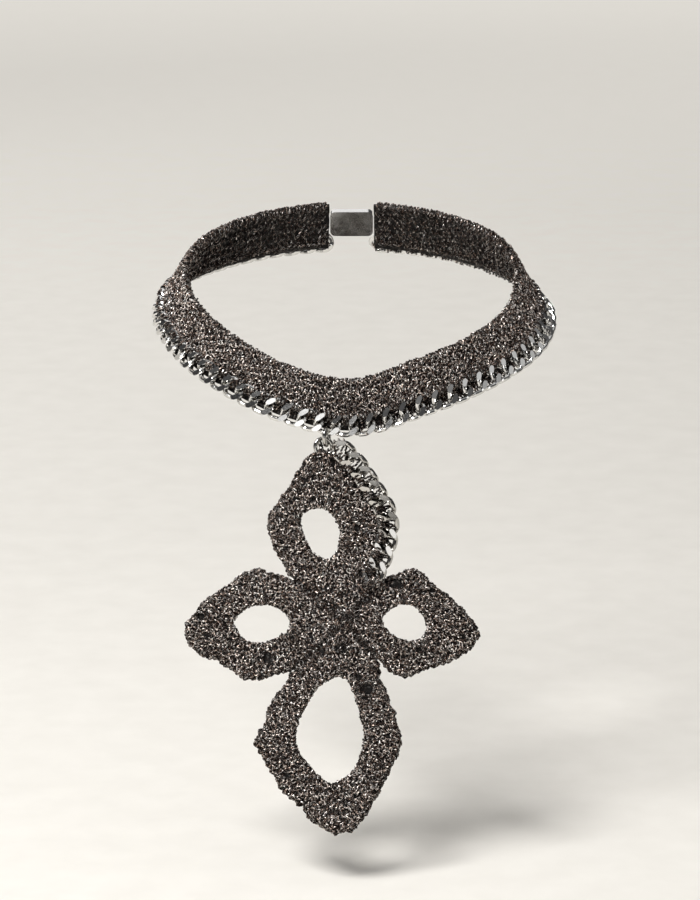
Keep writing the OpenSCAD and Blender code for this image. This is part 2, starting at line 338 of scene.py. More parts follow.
RIGHT_ROWS = (
    (0, 7.2, 25.3), (7, 7.0, 23.3), (17, 6.9, 20.5), (37, 6.4, 17.9), (56, 6.4, 17.1),
    (68, 6.5, 19.1), (80, 6.3, 19.8), (92, 6.2, 18.4), (104, 6.3, 17.2),
    (112, 6.2, 16.0), (120, 6.2, FAR), (150, 6.8, FAR), (175, 7.5, FAR),
    (200, 6.2, FAR), (229, 5.3, FAR), (233, 5.3, 16.2), (244, 5.2, 16.9),
    (257, 5.3, 18.5), (270, 5.6, 19.4), (284, 6.3, 18.6), (299, 6.7, 18.2),
    (316, 7.6, 20.8), (330, 7.8, 23.4), (342, 7.9, 26.2), (351, 7.8, 27.4),
)
BOTTOM_ROWS = (
    (0, 11.6, 24.4), (24, 11.4, 23.5), (45, 13.0, 25.6), (56, 14.8, 30.2),
    (60, 15.6, FAR), (70, 18.4, FAR), (80, 19.1, FAR), (100, 16.0, FAR),
    (117, 13.1, FAR), (121, 12.6, 25.1), (134, 11.5, 22.6), (152, 10.9, 23.1),
    (174, 11.1, 23.4), (190, 11.9, 27.3), (200, 12.3, 26.0), (218, 13.0, 25.8),
    (235, 13.6, 27.8), (250, 15.2, 28.9), (256, 16.0, 32.3), (264, 17.2, 34.4),
    (273, 18.6, 37.1), (283, 17.7, 36.5), (291, 16.8, 33.7), (302, 16.1, 29.6),
    (320, 13.6, 26.2), (336, 12.5, 25.5), (351, 11.9, 26.1),
)
TOP_LEFT, TOP_RIGHT = Meeting(141), Meeting(49)
BOTTOM_LEFT, BOTTOM_RIGHT = Meeting(223), Meeting(310)


def in_scene(name: str, data: bpy.types.ID) -> bpy.types.Object:
    """Put data into the scene as a new object at the origin.

    Args:
        name: The object's name.
        data: Its mesh, camera or light.

    Returns:
        The object.
    """
    piece = bpy.data.objects.new(name, data)
    bpy.context.scene.collection.objects.link(piece)
    return piece


def smoothed(data: bpy.types.Mesh) -> None:
    """Shade all faces of a mesh smoothly."""
    for face in data.polygons:
        face.use_smooth = True


class Stitch(Enum):
    """The kinds of yarn loop that a seat can hold."""

    LEG = 0
    RIM = 1
    THREAD = 2


@dataclass
class Seats:
    """Places of yarn loops or links: each has a point and a turn, and a loop has its kind."""

    points: list[np.ndarray] = field(default_factory=list)
    turns: list[Triple] = field(default_factory=list)
    kinds: list[int] = field(default_factory=list)

    def add(
        self, point: np.ndarray, run: np.ndarray, out: np.ndarray, kind: Stitch | None = None
    ) -> None:
        """Add a seat.

        Args:
            point: Its place in millimetres.
            run: The direction that the loop runs in.
            out: The direction that it arches towards.
            kind: The kind of loop, or nothing for a link.
        """
        y = unit(run)
        z = square(out, y)
        self.points.append(point)
        self.turns.append(tuple(Matrix(np.array([np.cross(y, z), y, z]).T.tolist()).to_euler()))
        if kind is not None:
            self.kinds.append(kind.value)

    def add_link(self, point: np.ndarray, along: np.ndarray, facing: np.ndarray) -> None:
        """Add the seat of a link.

        Args:
            point: Its place in millimetres.
            along: The direction that the link lies along.
            facing: The direction that its face points to.
        """
        x = unit(along)
        z = square(facing, x)
        self.add(point, np.cross(z, x), z)

    def clear(self, spot: np.ndarray, reach: float) -> None:
        """Take away the loops near a spot, so that the ground, darkened with painted shade, shows
        there.

        Args:
            spot: The spot in millimetres.
            reach: How near a loop's seat has to be.
        """
        kept = [i for i, p in enumerate(self.points) if np.linalg.norm(p - spot) >= reach]
        self.points, self.turns, self.kinds = (
            [row[i] for i in kept] for row in (self.points, self.turns, self.kinds)
        )

    def mesh(self, name: str) -> bpy.types.Object:
        """Make an object with one loose point a seat.

        Args:
            name: The object's name.

        Returns:
            The object, whose points carry `turn` and, for loops, `kind`.
        """
        data = bpy.data.meshes.new(name)
        data.from_pydata([tuple(p * MM) for p in self.points], [], [])
        turn = data.attributes.new("turn", "FLOAT_VECTOR", "POINT")
        turn.data.foreach_set("vector", np.array(self.turns, np.float32).ravel())
        if self.kinds:
            kind = data.attributes.new("kind", "INT", "POINT")
            kind.data.foreach_set("value", np.array(self.kinds, np.int32))
        return in_scene(name, data)


def node_group(
    name: str, kind: str, inputs: dict[str, str], outputs: dict[str, str]
) -> bpy.types.NodeTree:
    """Start a node group.

    Args:
        name: The group's name.
        kind: The type of its tree.
        inputs: The short types of its inputs by name.
        outputs: The short types of its outputs by name.

    Returns:
        The group, with its sockets and no nodes.
    """
    tree = bpy.data.node_groups.new(name, kind)
    for way, sockets in (("INPUT", inputs), ("OUTPUT", outputs)):
        for label, short in sockets.items():
            tree.interface.new_socket(label, in_out=way, socket_type="NodeSocket" + short)
    return tree


class Wiring:
    """Adds nodes to a tree and joins them."""

    def __init__(self, tree: bpy.types.NodeTree) -> None:
        """Keep the tree that nodes are added to."""
        self.tree = tree

    def plug(self, node: bpy.types.Node, plugs: dict[str | int, Plug]) -> None:
        """Set or link inputs of a node.

        Args:
            node: The node.
            plugs: Values or sockets by input name or number.
        """
        for key, value in plugs.items():
            if isinstance(value, Socket):
                self.tree.links.new(value, node.inputs[key])
            else:
                node.inputs[key].default_value = value

    def add(
        self, kind: str, plugs: dict[str | int, Plug] | None = None, **settings: object
    ) -> bpy.types.Node:
        """Add a node.

        Args:
            kind: The node's type.
            plugs: Values or sockets by input name or number.
            settings: The node's own properties.

        Returns:
            The node.
        """
        node = self.tree.nodes.new(kind)
        for name, value in settings.items():
            setattr(node, name, value)
        self.plug(node, plugs or {})
        return node

    def get(
        self,
        kind: str,
        plugs: dict[str | int, Plug] | None = None,
        output: int | str = 0,
        **settings: object,
    ) -> Socket:
        """Add a node as `add` does and return one of its outputs."""
        return self.add(kind, plugs, **settings).outputs[output]

    def math(self, operation: str, a: Plug, b: Plug = 0.0, c: Plug = 0.0) -> Socket:
        """Return the result of a Math node."""
        return self.get("ShaderNodeMath", {0: a, 1: b, 2: c}, operation=operation)

    def scaled(self, vector: Socket, factor: float) -> Socket:
        """Return a vector times a number."""
        return self.get("ShaderNodeVectorMath", {0: vector, "Scale": factor}, operation="SCALE")

    def vector(self, x: Plug = 0.0, y: Plug = 0.0, z: Plug = 0.0) -> Socket:
        """Return a vector joined from three values."""
        return self.get("ShaderNodeCombineXYZ", {0: x, 1: y, 2: z})

    def mapped(self, value: Socket, *ends: float) -> Socket:
        """Return a value moved from the range of the first two ends to that of the last two."""
        return self.get("ShaderNodeMapRange", {0: value, **dict(enumerate(ends, 1))})

    def multiplied(self, colour: Socket, by: Socket, share: float = 1.0) -> Socket:
        """Return a colour that is multiplied by another one, to a share."""
        plugs = {0: share, 6: colour, 7: by}
        return self.get("ShaderNodeMix", plugs, 2, data_type="RGBA", blend_type="MULTIPLY")

    def ramp(self, value: Socket, stops: list[tuple[float, Triple]]) -> Socket:
        """Read a colour from a value.

        Args:
            value: The value.
            stops: Places from 0 to 1 with their colours.

        Returns:
            The colour.
        """
        node = self.add("ShaderNodeValToRGB", {0: value})
        band = node.color_ramp
        while len(band.elements) < len(stops):
            band.elements.new(0.5)
        for element, (place, colour) in zip(band.elements, stops):
            element.position = place
            element.color = (*colour, 1.0)
        return node.outputs[0]

    def bump(self, height: Socket, strength: float, depth: float) -> Socket:
        """Return a normal from a height, with the bump's strength and its depth in millimetres."""
        plugs = {"Strength": strength, "Distance": depth * MM, "Height": height}
        return self.get("ShaderNodeBump", plugs)

    def random(self, seed: Socket, low: Plug, high: Plug, vector: bool = False) -> Socket:
        """Return a random number or vector of each point.

        Args:
            seed: The seed.
            low: The lowest value.
            high: The highest value.
            vector: Whether it is a vector.

        Returns:
            The value.
        """
        first, output, kind = (0, 0, "FLOAT_VECTOR") if vector else (2, 1, "FLOAT")
        plugs = {first: low, first + 1: high, "Seed": seed}
        return self.get("FunctionNodeRandomValue", plugs, output, data_type=kind)

    def attribute(self, name: str, kind: str) -> Socket:
        """Return a named attribute of the geometry."""
        return self.get("GeometryNodeInputNamedAttribute", {"Name": name}, data_type=kind)

    def stored(
        self, geometry: Socket, name: str, value: Plug, kind: str = "FLOAT", domain: str = "POINT"
    ) -> Socket:
        """Return a geometry that carries a value as a named attribute."""
        plugs = {"Geometry": geometry, "Name": name, "Value": value}
        return self.get("GeometryNodeStoreNamedAttribute", plugs, data_type=kind, domain=domain)

    def finish(self, instances: Socket, material: Socket) -> None:
        """End a geometry tree with real meshes that have their material.

        Args:
            instances: The geometry that is made real.
            material: The material.
        """
        real = self.get("GeometryNodeRealizeInstances", {0: instances})
        dressed = self.get("GeometryNodeSetMaterial", {"Geometry": real, "Material": material})
        self.add("NodeGroupOutput", {0: dressed})


# How far round the yarn its glitter reaches: the radius of the yarn's unrolled skin.
WRAP_RADIUS = 0.9
# The smallest and the largest size of a yarn loop.
LOOP_SIZES = (0.88, 1.14)


@dataclass(frozen=True)
class YarnWork:
    """How yarn loops are made at their seats. Sizes are in millimetres."""

    yarn_radius: float = 0.48
    groove: float = 0.5
    turns: float = 1.1
    leg_length: float = 3.5
    leg_bow: float = 1.0
    rim_length: float = 3.0
    rim_bow: float = 2.5
    thread_radius: float = 0.25
    thread_length: float = 1.4
    thread_bow: float = 0.55
    place_jitter: float = 0.25
    turn_jitter: float = 0.25
    yarn_steps: int = 5
    thread_steps: int = 4
    seed: int = 5

    def sizes(self) -> dict[str, float | int]:
        """Name the sizes as the tree's inputs, with lengths in metres.

        Returns:
            The values by name.
        """
        named = {}
        for item in fields(self):
            value = getattr(self, item.name)
            plain = isinstance(value, int) or item.name in ("groove", "turns", "turn_jitter")
            named[item.name.replace("_", " ").title()] = value if plain else value * MM
        return named

    def tree(self) -> bpy.types.NodeTree:
        """Build the node tree that puts a yarn loop at each seat.

        Returns:
            The tree, with a named input for each size.
        """
        kinds = {k: "Int" if isinstance(v, int) else "Float" for k, v in self.sizes().items()}
        inputs = {"Geometry": "Geometry", **kinds, "Material": "Material"}
        tree = node_group("yarn_work", "GeometryNodeTree", inputs, {"Geometry": "Geometry"})
        wire = Wiring(tree)
        given = wire.add("NodeGroupInput").outputs
        seats = self._seats(wire, given)
        turn = self._turn(wire, given)
        loops = wire.add("GeometryNodeJoinGeometry")
        for stitch in Stitch:
            chosen = wire.get(
                "FunctionNodeCompare",
                {2: wire.attribute("kind", "INT"), 3: stitch.value},
                data_type="INT",
                operation="EQUAL",
            )
            standing = {
                "Points": seats,
                "Selection": chosen,
                "Instance": self._loop(wire, given, stitch),
                "Rotation": turn,
                "Scale": wire.random(given["Seed"], *LOOP_SIZES),
            }
            wire.plug(loops, {0: wire.get("GeometryNodeInstanceOnPoints", standing)})
        tone = wire.random(given["Seed"], 0.0, 1.0)
        toned = wire.stored(loops.outputs[0], "tone", tone, domain="INSTANCE")
        wire.finish(toned, given["Material"])
        return tree

    def _seats(self, wire: Wiring, given: bpy.types.NodeOutputs) -> Socket:
        """Turn the loose points into seats and shake their places.

        Args:
            wire: The tree's wiring.
            given: The tree's inputs.

        Returns:
            The geometry of the seats.
        """
        reach = given["Place Jitter"]
        back = wire.math("MULTIPLY", reach, -1.0)
        ends = (wire.vector(end, end, end) for end in (back, reach))
        shake = wire.random(given["Seed"], *ends, vector=True)
        points = wire.get("GeometryNodeMeshToPoints", {"Mesh": given["Geometry"]})
        return wire.get("GeometryNodeSetPosition", {"Geometry": points, "Offset": shake})

    def _turn(self, wire: Wiring, given: bpy.types.NodeOutputs) -> Socket:
        """Read each seat's turn and shake it, twice as much about its own upright.

        Args:
            wire: The tree's wiring.
            given: The tree's inputs.

        Returns:
            The rotation of a seat.
        """
        reach = given["Turn Jitter"]
        small = wire.math("MULTIPLY", reach, 0.5)
        small_back, back = (wire.math("MULTIPLY", end, -1.0) for end in (small, reach))
        ends = (wire.vector(small_back, small_back, back), wire.vector(small, small, reach))
        shake = wire.random(given["Seed"], *ends, vector=True)
        turn, shaken = (
            wire.get("FunctionNodeEulerToRotation", {0: euler})
            for euler in (wire.attribute("turn", "FLOAT_VECTOR"), shake)
        )
        plugs = {"Rotation": turn, "Rotate By": shaken}
        return wire.get("FunctionNodeRotateRotation", plugs, rotation_space="LOCAL")

    def _loop(self, wire: Wiring, given: bpy.types.NodeOutputs, stitch: Stitch) -> Socket:
        """Make one yarn loop: an arc swept with a lobed section that turns along it.

        Args:
            wire: The tree's wiring.
            given: The tree's inputs.
            stitch: The kind of loop.

        Returns:
            The loop's geometry, with `thread` and `crest` on its points.
        """
        thin = stitch is Stitch.THREAD
        name, yarn = stitch.name.title(), "Thread" if thin else "Yarn"
        bow, radius = given[f"{name} Bow"], given[f"{yarn} Radius"]
        half = wire.math("MULTIPLY", given[f"{name} Length"], 0.5)
        sideways = wire.math("MULTIPLY", bow, 1.0 if thin else 0.25)
        foot = wire.math("MULTIPLY", bow, -0.35 if thin else -0.5)
        corners = {
            "Resolution": given[f"{yarn} Steps"],
            "Start": wire.vector(0.0, wire.math("MULTIPLY", half, -1.0), foot),
            "Middle": wire.vector(sideways, 0.0, bow),
            "End": wire.vector(0.0, half, foot),
        }
        arc = wire.get("GeometryNodeCurveQuadraticBezier", corners)
        factor = wire.get("GeometryNodeSplineParameter", output="Factor")
        tilt = wire.math("MULTIPLY", wire.math("MULTIPLY", factor, math.tau), given["Turns"])
        turned = wire.get("GeometryNodeSetCurveTilt", {"Curve": arc, "Tilt": tilt})
        if thin:
            plugs = {"Resolution": 3, "Radius": radius}
            section = wire.get("GeometryNodeCurvePrimitiveCircle", plugs)
        else:
            groove = wire.math("MULTIPLY", radius, given["Groove"])
            plugs = {"Points": 3, "Inner Radius": groove, "Outer Radius": radius}
            section = wire.get("GeometryNodeCurveStar", plugs)
        path, along = self._kept(wire, turned, "Length")
        ring, around = self._kept(wire, section, "Factor")
        plugs = {"Curve": path, "Profile Curve": ring, "Fill Caps": True}
        swept = wire.get("GeometryNodeCurveToMesh", plugs)
        angle = wire.math("MULTIPLY", around, math.tau)
        skin = (
            wire.math("MULTIPLY", wire.math(way, angle), WRAP_RADIUS * MM)
            for way in ("COSINE", "SINE")
        )
        threaded = wire.stored(swept, "thread", wire.vector(along, *skin), "FLOAT_VECTOR")
        # The crest is high on the lobes and low in their grooves; the material paints shade into the
        # grooves from it.
        waves = wire.math("COSINE", wire.math("MULTIPLY", angle, 3.0))
        crest = 1.0 if thin else wire.math("MULTIPLY_ADD", waves, 0.5, 0.5)
        return wire.stored(threaded, "crest", crest)

    def _kept(self, wire: Wiring, curve: Socket, output: str) -> tuple[Socket, Socket]:
        """Keep a curve's own length or share so that the swept mesh can read it.

        Args:
            wire: The tree's wiring.
            curve: The curve.
            output: The name of the value on the spline parameter node.

        Returns:
            The curve and the kept value.
        """
        keep = wire.add("GeometryNodeCaptureAttribute")
        keep.capture_items.new("FLOAT", output)
        value = wire.get("GeometryNodeSplineParameter", output=output)
        wire.plug(keep, {0: curve, 1: value})
        return keep.outputs[0], keep.outputs[1]

    def crocheted(
        self, seats: Seats, name: str, finish: bpy.types.Material, tree: bpy.types.NodeTree
    ) -> bpy.types.Object:
        """Make a plain mesh of the loops at some seats.

        Args:
            seats: The seats.
            name: The piece's name.
            finish: The yarn's material.
            tree: The node tree.

        Returns:
            The piece.
        """
        values = {**self.sizes(), "Material": finish}
        piece = realised(seats.mesh(name + "_seats"), tree, values, name)
        smoothed(piece.data)
        LOG.info("%s: %d loops, %d faces", name, len(seats.points), len(piece.data.polygons))
        return piece


def realised(
    bed: bpy.types.Object, tree: bpy.types.NodeTree, values: dict[str, Plug], name: str
) -> bpy.types.Object:
    """Run a geometry node tree on an object and keep its result as a plain mesh.

    Args:
        bed: The object that the tree runs on, which is removed.
        tree: The tree.
        values: The tree's inputs by name.
        name: The new object's name.

    Returns:
        The new object, at the origin.
    """
    modifier = bed.modifiers.new("work", "NODES")
    modifier.node_group = tree
    for item in tree.interface.items_tree:
        if item.item_type == "SOCKET" and item.in_out == "INPUT" and item.name in values:
            modifier[item.identifier] = values[item.name]
    graph = bpy.context.evaluated_depsgraph_get()
    data = bpy.data.meshes.new_from_object(bed.evaluated_get(graph))
    data.name = name
    piece = in_scene(name, data)
    bpy.data.objects.remove(bed)
    return piece


def skinned(
    name: str, rings: list[list[np.ndarray]], closed: bool, finish: bpy.types.Material
) -> bpy.types.Object:
    """Make a closed mesh from rings of points.

    Args:
        name: The piece's name.
        rings: Rings with the same number of points, in millimetres.
        closed: Whether the last ring joins the first one, or both ends get a face.
        finish: The material.

    Returns:
        The piece, with its faces pointing outwards.
    """
    count, size = len(rings), len(rings[0])
    faces: list[tuple[int, ...]] = []
    for i in range(count if closed else count - 1):
        k = (i + 1) % count
        for j in range(size):
            m = (j + 1) % size
            faces.append((i * size + j, i * size + m, k * size + m, k * size + j))
    if not closed:
        faces.append(tuple(range(size)))
        faces.append(tuple(range((count - 1) * size, count * size)))
    data = bpy.data.meshes.new(name)
    data.from_pydata([tuple(p * MM) for ring in rings for p in ring], [], faces)
    data.materials.append(finish)
    shaped = bmesh.new()
    shaped.from_mesh(data)
    bmesh.ops.recalc_face_normals(shaped, faces=shaped.faces)
    shaped.to_mesh(data)
    shaped.free()
    smoothed(data)
    return in_scene(name, data)


def lumpy(piece: bpy.types.Object, size: float, depth: float) -> None:
    """Push a mesh in and out in soft lumps.

    Args:
        piece: The piece.
        size: The lumps' size in millimetres.
        depth: How far they go in and out, in millimetres.
    """
    data = piece.data
    moves = []
    for vertex in data.vertices:
        wave = noise.noise(vertex.co / (size * MM)) + 0.5 * noise.noise(vertex.co / (size * MM / 2))
        moves.append(vertex.co + vertex.normal * wave * depth * MM)
    for vertex, place in zip(data.vertices, moves):
        vertex.co = place
    data.update()


def softened(outline: list[tuple[float, float]], step: float) -> np.ndarray:
    """Put more points on a closed outline and round its corners.

    Args:
        outline: The corners.
        step: The distance between two points.

    Returns:
        The outline's points, one a row.
    """
    points: list[tuple[float, float]] = []
    for (x0, y0), (x1, y1) in zip(outline, outline[1:] + outline[:1]):
        parts = max(1, round(math.hypot(x1 - x0, y1 - y0) / step))
        points += [(x0 + (x1 - x0) * k / parts, y0 + (y1 - y0) * k / parts) for k in range(parts)]
    soft = np.array(points)
    for _ in range(2):
        soft = 0.25 * np.roll(soft, 1, axis=0) + 0.5 * soft + 0.25 * np.roll(soft, -1, axis=0)
    return soft


@dataclass(frozen=True)
class Section:
    """The crochet's section: its thickness, its rounding, and the ledge that a chain lies on."""

    thickness: float = 3.4
    rounding: float = 1.1
    tongue: float = 1.2
    ledge: float = 4.52
    inset: float = 0.5

    @property
    def front(self) -> float:
        """Return the height of the front over the middle."""
        return self.thickness / 2

    @property
    def ledge_front(self) -> float:
        """Return the height of the ledge over the middle."""
        return -self.thickness / 2 + self.tongue

    def outline(
        self, width: float, ledged: bool, under: float = 0.0
    ) -> list[tuple[float, float]]:
        """List the corners of the section, set in from the crochet's skin.

        Args:
            width: The crochet's width.
            ledged: Whether it has the ledge.
            under: How far the ledge goes on under the chain.

        Returns:
            Corners as far and high.
        """
        i = self.inset
        half, start, end = self.front - i, i, width - i + under
        soft = min(self.rounding, width / 4)
        if not ledged:
            return [
                (start, -half + soft), (start + soft, -half), (end - soft, -half),
                (end, -half + soft), (end, half - soft), (end - soft, half),
                (start + soft, half), (start, half - soft),
            ]
        low, foot = self.ledge_front - i / 3, width - self.ledge
        return [
            (start, -half + soft), (start + soft, -half), (end - 0.3, -half),
            (end, -half + 0.3), (end, low - 0.2), (end - 0.2, low), (foot, low),
            (foot - 0.5, half), (start + soft, half), (start, half - soft),
        ]


SECTION = Section()
# Heights over the crochet's middle at which its loops are seated.
FRONT_SEAT = SECTION.front - 0.35
BACK_SEAT = -SECTION.front + 0.32
LEDGE_SEAT = SECTION.ledge_front - 0.2
# How far over their stitch the short threads lie, and how far they spread along and across it.
THREAD_RISE, THREAD_SPREAD, THREAD_ASIDE = 0.3, 2.2, 0.8
# The turn in radians from thread to thread, from stitch to stitch and from row to row.
THREAD_TURN, STITCH_TURN, ROW_TURN = 1.1, 2.399, 0.7
# The size and the depth of the lumps of the ground, which is darkened with painted shade.
LUMPS = (2.6, 0.3)


class Finish(Enum):
    """Names of the finishes, as the record's material slots have them."""

    YARN = "yarn"
    STEEL = "steel"


def shader_material(name: str) -> tuple[bpy.types.Material, Wiring, bpy.types.Node]:
    """Start a node material.

    Args:
        name: The material's name.

    Returns:
        The material, its wiring and its main shader.
    """
    made = bpy.data.materials.new(name)
    made.use_nodes = True
    made.node_tree.nodes.clear()
    wire = Wiring(made.node_tree)
    shader = wire.add("ShaderNodeBsdfPrincipled")
    wire.add("ShaderNodeOutputMaterial", {0: shader.outputs[0]})
    return made, wire, shader


@dataclass(frozen=True)
class GlitterThread:
    """Dark thread wound with short runs of silver foil."""

    fibre: Triple = (0.009, 0.006, 0.005)
    shade: Triple = (0.04, 0.024, 0.017)
    mid: Triple = (0.15, 0.09, 0.064)
    foil: Triple = (0.93, 0.755, 0.64)
    bright: Triple = (1.0, 0.95, 0.9)
    warm: Triple = (1.0, 0.9, 0.84)
    cool: Triple = (0.93, 0.94, 0.96)
    run: float = 0.75
    ground_run: float = 0.5
    noise_slices: float = 197.0
    foil_from: float = 0.605
    tone_share: float = 0.18

    def group(self) -> bpy.types.NodeTree:
        """Build the shared node group of the yarn's colours, with painted shade in the grooves between
        plies.

        Returns:
            The group, which puts out a colour, a mask of foil, a roughness and a height.
        """
        inputs = {"Vector": "Vector", "Tone": "Float", "Crest": "Float"}
        outputs = {"Color": "Color", "Foil": "Float", "Roughness": "Float", "Height": "Float"}
        tree = node_group("glitter_thread", "ShaderNodeTree", inputs, outputs)
        wire = Wiring(tree)
        given = wire.add("NodeGroupInput").outputs
        plugs = {"Vector": given["Vector"], "Scale": 1.0, "Randomness": 1.0}
        cells = wire.get("ShaderNodeTexVoronoi", plugs, "Color", voronoi_dimensions="3D")
        parts = wire.add("ShaderNodeSeparateColor", {0: cells}).outputs
        toned = wire.math("MULTIPLY", given["Tone"], self.tone_share)
        lit = wire.math("MULTIPLY_ADD", parts[0], 1 - self.tone_share, toned)
        start = self.foil_from
        stops = [
            (0.0, self.fibre),
            (start - 0.16, self.shade),
            (start, self.mid),
            (start + 0.045, self.foil),
            (start + 0.12, self.bright),
        ]
        tint = wire.ramp(parts[1], [(0.0, self.warm), (0.5, (1, 1, 1)), (1.0, self.cool)])
        tinted = wire.multiplied(wire.ramp(lit, stops), tint, 0.8)
        # Painted shade: the colour is darkened where the crest is low, in the grooves between the
        # plies.
        depth = wire.mapped(given["Crest"], 0.25, 0.9, 0.03, 1.0)
        shaded = wire.multiplied(tinted, wire.vector(depth, depth, depth))
        foil = wire.mapped(lit, start - 0.04, start + 0.06, 0.0, 0.8)
        rough = wire.mapped(foil, 0.0, 1.0, 0.65, 0.26)
        wire.add("NodeGroupOutput", {0: shaded, 1: foil, 2: rough, 3: parts[2]})
        return tree

    def material(self, group: bpy.types.NodeTree) -> bpy.types.Material:
        """Make the yarn's material, which follows each thread's own length.

        Args:
            group: The shared node group.

        Returns:
            The material.
        """
        made, wire, shader = shader_material("glitter_yarn")
        unrolled = wire.get("ShaderNodeAttribute", output="Vector", attribute_name="thread")
        tone, crest = (
            wire.get("ShaderNodeAttribute", output="Fac", attribute_name=name)
            for name in ("tone", "crest")
        )
        slice_of_noise = wire.vector(0.0, 0.0, wire.math("MULTIPLY", tone, self.noise_slices))
        scaled = wire.scaled(unrolled, 1 / (self.run * MM))
        place = wire.get("ShaderNodeVectorMath", {0: scaled, 1: slice_of_noise})
        self._dress(wire, shader, group, {"Vector": place, "Tone": tone, "Crest": crest}, 0.15)
        return made

    def ground(self, group: bpy.types.NodeTree) -> bpy.types.Material:
        """Make the material of the yarn that lies under the loops, darkened nearly to black as painted
        shade.

        Args:
            group: The shared node group.

        Returns:
            The material.
        """
        made, wire, shader = shader_material("yarn_ground")
        place = wire.get("ShaderNodeTexCoord", output="Object")
        fine = wire.scaled(place, 1 / (self.ground_run * MM))
        # Painted shade: the low crest darkens the ground nearly to black, as the shade under the
        # loops.
        self._dress(wire, shader, group, {"Vector": fine, "Tone": 0.0, "Crest": 0.27}, 0.5)
        return made

    def _dress(
        self,
        wire: Wiring,
        shader: bpy.types.Node,
        group: bpy.types.NodeTree,
        plugs: dict[str | int, Plug],
        relief: float,
    ) -> None:
        """Feed a shader from the shared group.

        Args:
            wire: The material's wiring.
            shader: The shader.
            group: The shared node group.
            plugs: What the group is given.
            relief: The strength of the bump.
        """
        thread = wire.add("ShaderNodeGroup", plugs, node_tree=group).outputs
        fed = {
            "Base Color": thread["Color"],
            "Metallic": thread["Foil"],
            "Roughness": thread["Roughness"],
            "Normal": wire.bump(thread["Height"], relief, 0.1),
            "Specular IOR Level": 0.2,
        }
        wire.plug(shader, fed)


@dataclass(frozen=True)
class PolishedSteel:
    """Bright polished metal with faint wear."""

    name: str = "polished_steel"
    colour: Triple = (0.7, 0.692, 0.675)
    smooth: float = 0.1
    worn: float = 0.18

    def material(self) -> bpy.types.Material:
        """Make the metal's material.

        Returns:
            The material.
        """
        made, wire, shader = shader_material(self.name)
        place = wire.get("ShaderNodeTexCoord", output="Object")
        plugs = {"Vector": place, "Scale": 420.0, "Detail": 5.0, "Roughness": 0.6}
        clouds = wire.get("ShaderNodeTexNoise", plugs)
        dull = tuple(0.96 * c for c in self.colour)
        fed = {
            "Base Color": wire.ramp(clouds, [(0.3, dull), (0.65, self.colour)]),
            "Roughness": wire.mapped(clouds, 0.35, 0.7, self.smooth, self.worn),
            "Normal": wire.bump(clouds, 0.02, 0.05),
            "Metallic": 1.0,
        }
        wire.plug(shader, fed)
        return made


@dataclass(frozen=True)
class Kit:
    """What every crocheted piece is made with."""

    work: YarnWork
    tree: bpy.types.NodeTree
    yarn: bpy.types.Material
    ground: bpy.types.Material
    steel: bpy.types.Material
    # A darker copy of the steel: painted shade for the rings and the side chain.
    dull_steel: bpy.types.Material

    def crocheted(self, seats: Seats, name: str) -> bpy.types.Object:
        """Make a piece of yarn loops at some seats."""
        return self.work.crocheted(seats, name, self.yarn, self.tree)


# A link's place, its direction along the chain and its facing.
LinkFrame = tuple[np.ndarray, np.ndarray, np.ndarray]


def v_stitch(
    seats: Seats,
    place: np.ndarray,
    axes: Axes,
    spread: float,
    gap: float,
) -> None:
    """Seat the two legs of one stitch.

    Args:
        seats: The seats to add to.
        place: The stitch's middle.
        axes: The direction that it points in, the one from leg to leg, and the one out of it.
        spread: The angle of each leg to the stitch's own direction.
        gap: How far each leg lies from the middle.
    """
    run, across, out = axes
    for lean in (-1, 1):
        leg = run * math.cos(spread) + lean * across * math.sin(spread)
        seats.add(place + lean * gap * across, leg, out, Stitch.LEG)


def loose_threads(
    seats: Seats,
    spot: Callable[[float], np.ndarray],
    axes: Axes,
    count: int,
    turn: float,
) -> None:
    """Seat the short threads over one stitch, each turned another way.

    Args:
        seats: The seats to add to.
        spot: Finds the place that is so far along the stitch.
        axes: The directions along the stitch, across it and out of it.
        count: The number of threads.
        turn: The turn of the first one in radians.
    """
    run, across, out = axes
    for k in range(count):
        swing = turn + k * THREAD_TURN
        place = spot(((k + 0.5) / count - 0.5) * THREAD_SPREAD)
        way = run * math.cos(swing) + across * math.sin(swing)
        aside = math.sin(swing * 1.7) * THREAD_ASIDE
        seats.add(place + across * aside, way, out, Stitch.THREAD)


def work_through_links(
    seats: Seats, frames: list[LinkFrame], side: int, over: float = 3.3, drawn: float = 0.0
) -> None:
    """Seat the loops that hold a chain: behind its links and over their inner bars.

    Args:
        seats: The seats to add to.
        frames: The links' places, directions along the chain and facings.
        side: 1 where the crochet is on the links' left as they face the viewer, or -1.
        over: How far in from a link's middle the loops over its inner bar lie.
        drawn: How far the loops behind are drawn in, which opens the links' outer halves.
    """
    for place, along, facing in frames:
        inward = side * np.cross(facing, along)
        # Both reaches sway a little from link to link.
        pull = drawn * (1 + 0.2 * math.sin(1.3 * place[0])) - 0.75
        hold = over + 0.3 * math.sin(0.9 * place[0])
        for kind, count, middle, step, reach, high, lean, swing in (
            (Stitch.LEG, 5, 2, 1.25, pull, -1.75, 0.35, 2.1),
            (Stitch.RIM, 4, 1.1, side, hold, 0.95, 0.3, 3.7),
        ):
            for k in range(count):
                run = inward + lean * math.sin(swing * k + place[0]) * along
                point = place + (k - middle) * step * along + reach * inward + high * facing
                seats.add(point, run, facing, kind)


# Stretches of the edge chain, left to right: start, end, and the yarn's two places on a link.
LINK_YARN = ((-90.0, -27.0, 2.7, 2.0), (-27.0, 0.0, 3.2, 2.3), (0.0, 90.0, 3.3, 0.0))


